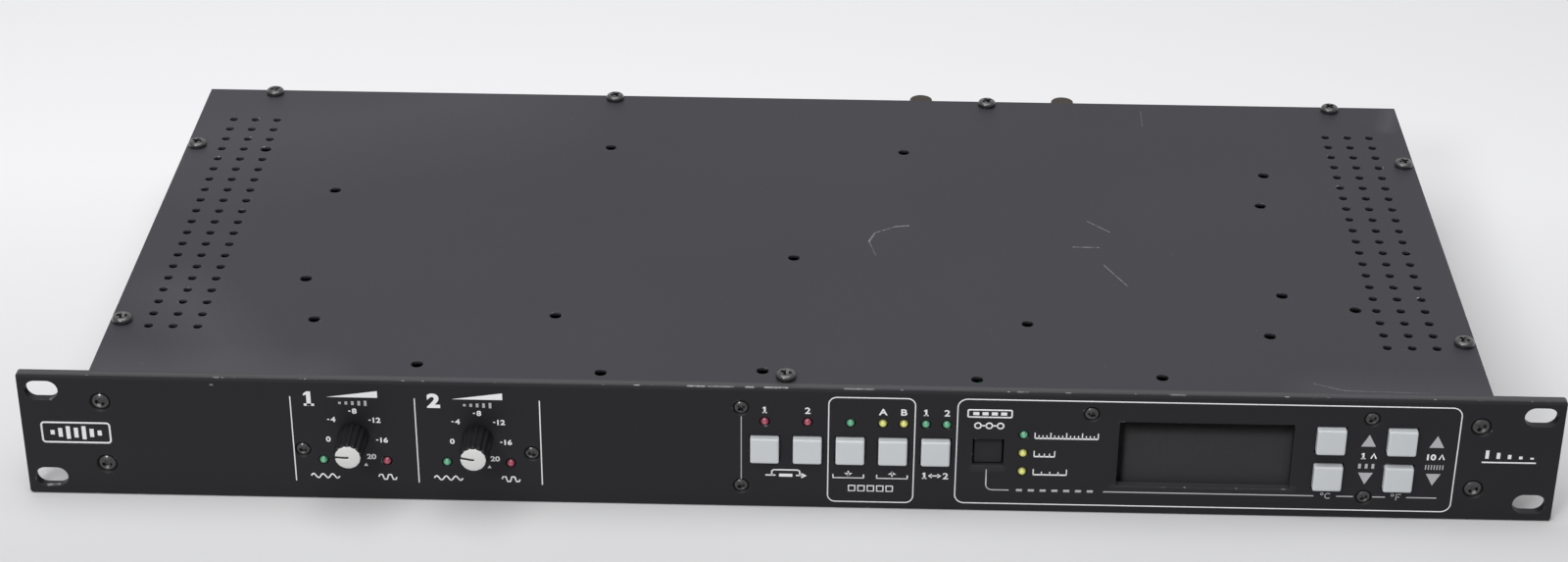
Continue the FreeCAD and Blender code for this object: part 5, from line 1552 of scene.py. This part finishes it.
# ---------------------------------------------------------------- rear side and inside
class RACK_UNIT_OT_connectors(bpy.types.Operator):
    """Sockets, release levers, jacks, nuts, supply inlet and earth screw on the rear wall"""
    bl_idname = "rack_unit.connectors"
    bl_label = "Connectors"

    def execute(self, context):
        for side in ("1", "2"):
            for kind in ("input", "output"):
                soften(f"xlr_{kind}_{side}", "chassis", connector_nickel(),
                       width=0.25 * MM)
                soften(f"{kind}_jack_{side}", "chassis", socket_black(), width=0.2 * MM)
            soften(f"xlr_latch_{side}", f"input_latch_{side}", lever_bronze(), width=0.6 * MM)
        soften("jack_nuts", "chassis", connector_nickel(), width=0.2 * MM)
        soften("input_inserts", "chassis", socket_black(), width=0.2 * MM)
        soften("output_pins", "chassis", contact_silver(), width=0.12 * MM)
        soften("supply_inlet", "chassis", socket_black(), width=0.25 * MM)
        soften("ground_screw", "chassis", zinc_steel(), width=0.15 * MM)
        self.print_rear()
        return {"FINISHED"}

    def print_rear(self):
        """Channel numbers over the sockets, arrows for in and out, and an earth sign."""
        origin = Vector((0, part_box("rear_panel")[1].y, 0))
        ink = Ink("rear_print", print_white(), origin, Vector((-1, 0, 0)))
        for kind, inward in (("input", True), ("output", False)):
            for side in ("1", "2"):
                x = -middle(f"{kind}_jack_{side}").x / MM
                ink.digit(side, x - 3.0, 33.0, 3.4, weight=0.04)
                tip, tail = (31.6, 34.4) if inward else (34.4, 31.6)
                back = 1.3 if inward else -1.3
                arrow = x + 3.2
                ink.line([(arrow, tail), (arrow, tip)], width=0.5)
                ink.shape([(arrow, tip), (arrow - 1.0, tip + back), (arrow + 1.0, tip + back)])
        x = -middle("ground_screw").x / MM
        plates = 28.4
        ink.line([(x, plates + 2.0), (x, plates)], width=0.5)
        for step, reach in enumerate((1.9, 1.2, 0.5)):
            z = plates - 0.9 * step
            ink.line([(x - reach, z), (x + reach, z)], width=0.45)
        ink.build("chassis", "case_paint")


class RACK_UNIT_OT_inside(bpy.types.Operator):
    """Boards, spacers and components that show through the openings"""
    bl_idname = "rack_unit.inside"
    bl_label = "Inside"

    def execute(self, context):
        finishes = {
            board_green: ("level_board", "control_board", "main_board"),
            chip_black: ("signal_chips", "voltage_regulators", "board_headers", "key_switches"),
            capacitor_sleeve: ("power_capacitors",),
            bare_aluminium: ("heatsink",),
            zinc_steel: ("board_screws_rear", "board_spacers", "main_board_screws",
                         "main_board_standoffs", "pot_shaft_1", "pot_shaft_2",
                         "potentiometer_1", "potentiometer_2"),
        }
        for material, nodes in finishes.items():
            for node in nodes:
                carry_over(node, material())
        return {"FINISHED"}


# ---------------------------------------------------------------- stage
class RACK_UNIT_OT_stage(bpy.types.Operator):
    """Pale paper sweep, soft lights, surroundings and camera"""
    bl_idname = "rack_unit.stage"
    bl_label = "Stage"

    def execute(self, context):
        look = settings().stage
        self.lay_floor(look)
        self.light_room(look)
        self.hang_light("top_softbox", place=(-0.12, -0.3, 1.5), target=(0.0, 0.0, 0.0), size=1.8,
                        power=look.top_power)
        self.hang_light("key_softbox", place=(-0.5, -1.1, 0.85), target=(0.0, -0.1, 0.0), size=0.3,
                        power=look.key_power)
        self.aim_camera(look)
        context.scene.view_settings.view_transform = "Standard"
        return {"FINISHED"}

    def lay_floor(self, look):
        half = 3.0
        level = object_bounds()[0][2] - 0.3 * MM
        mesh = bpy.data.meshes.new("floor")
        mesh.from_pydata([(-half, -half, level), (half, -half, level), (half, half, level),
                          (-half, half, level)], [], [(0, 1, 2, 3)])
        made = Finish("floor_paper", Roughness=0.7, Specular_IOR_Level=0.2)
        # Painted shade: the paper darkens towards the camera in place of the light's fall-off.
        depth = add_node(made.tree, "ShaderNodeSeparateXYZ", {0: made.place}).outputs["Y"]
        front, back = -0.34, 0.12
        painted_falloff = fade(made.tree, depth, front, back)
        made.feed("Base Color", blend_colours(made.tree, painted_falloff, opaque(look.floor_front),
                                              opaque(look.floor_colour)))
        floor = linked("floor", mesh)
        mesh.materials.append(made.material)
        floor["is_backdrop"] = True

    def light_room(self, look):
        world = bpy.data.worlds.new("studio")
        bpy.context.scene.world = world
        world.use_nodes = True
        tree = world.node_tree
        background = tree.nodes["Background"]
        background.inputs["Color"].default_value = opaque(look.world_colour)
        background.inputs["Strength"].default_value = look.world_strength
        shown = add_node(tree, "ShaderNodeBackground",
                         {"Color": opaque(look.floor_colour), "Strength": 1.0})
        path = add_node(tree, "ShaderNodeLightPath")
        seen = path.outputs["Is Camera Ray"]
        for ray in ("Is Glossy Ray", "Is Transmission Ray"):
            seen = calculate(tree, "MAXIMUM", seen, path.outputs[ray])
        choice = add_node(tree, "ShaderNodeMixShader",
                          {0: seen, 1: background.outputs[0], 2: shown.outputs[0]})
        tree.links.new(choice.outputs[0], tree.nodes["World Output"].inputs["Surface"])

    def hang_light(self, name, place, target, size, power):
        data = bpy.data.lights.new(name, "AREA")
        data.shape = "SQUARE"
        data.size = size
        data.energy = power
        lamp = linked(name, data)
        lamp.location = place
        lamp.rotation_euler = (Vector(target) - Vector(place)).to_track_quat("-Z", "Y").to_euler()

    def aim_camera(self, look):
        data = bpy.data.cameras.new("camera")
        data.sensor_width = 36.0
        data.lens = look.camera_lens
        camera = linked("camera", data)
        camera.location = look.camera_place
        camera.rotation_euler = Euler(look.camera_turn, "XYZ")
        bpy.context.scene.camera = camera


# ---------------------------------------------------------------- add-on
SETTINGS = (StageSettings, PaintSettings, PrintSettings, ScrewSettings, KnobSettings, KeySettings,
            LampSettings, DisplaySettings, MetalSettings, RackUnitSettings)
STEPS = (RACK_UNIT_OT_case, RACK_UNIT_OT_cover, RACK_UNIT_OT_front_panel, RACK_UNIT_OT_panel_print,
         RACK_UNIT_OT_cover_screws, RACK_UNIT_OT_panel_screws, RACK_UNIT_OT_rear_screws,
         RACK_UNIT_OT_knobs, RACK_UNIT_OT_keys, RACK_UNIT_OT_lamps, RACK_UNIT_OT_display,
         RACK_UNIT_OT_connectors, RACK_UNIT_OT_inside, RACK_UNIT_OT_stage)


class RACK_UNIT_PT_steps(bpy.types.Panel):
    """The unit's pieces, each with the button that makes it"""
    bl_idname = "RACK_UNIT_PT_steps"
    bl_label = "Rack unit"
    bl_space_type = "VIEW_3D"
    bl_region_type = "UI"
    bl_category = "Rack unit"

    def draw(self, context):
        for step in STEPS:
            self.layout.operator(step.bl_idname)


def register():
    for made in (*SETTINGS, *STEPS, RACK_UNIT_PT_steps):
        bpy.utils.register_class(made)
    bpy.types.Scene.rack_unit = PointerProperty(type=RackUnitSettings)


def unregister():
    del bpy.types.Scene.rack_unit
    for made in reversed((*SETTINGS, *STEPS, RACK_UNIT_PT_steps)):
        bpy.utils.unregister_class(made)


def main():
    register()
    for step in STEPS:
        group, name = step.bl_idname.split(".")
        getattr(getattr(bpy.ops, group), name)()


if __name__ == "__main__":
    main()
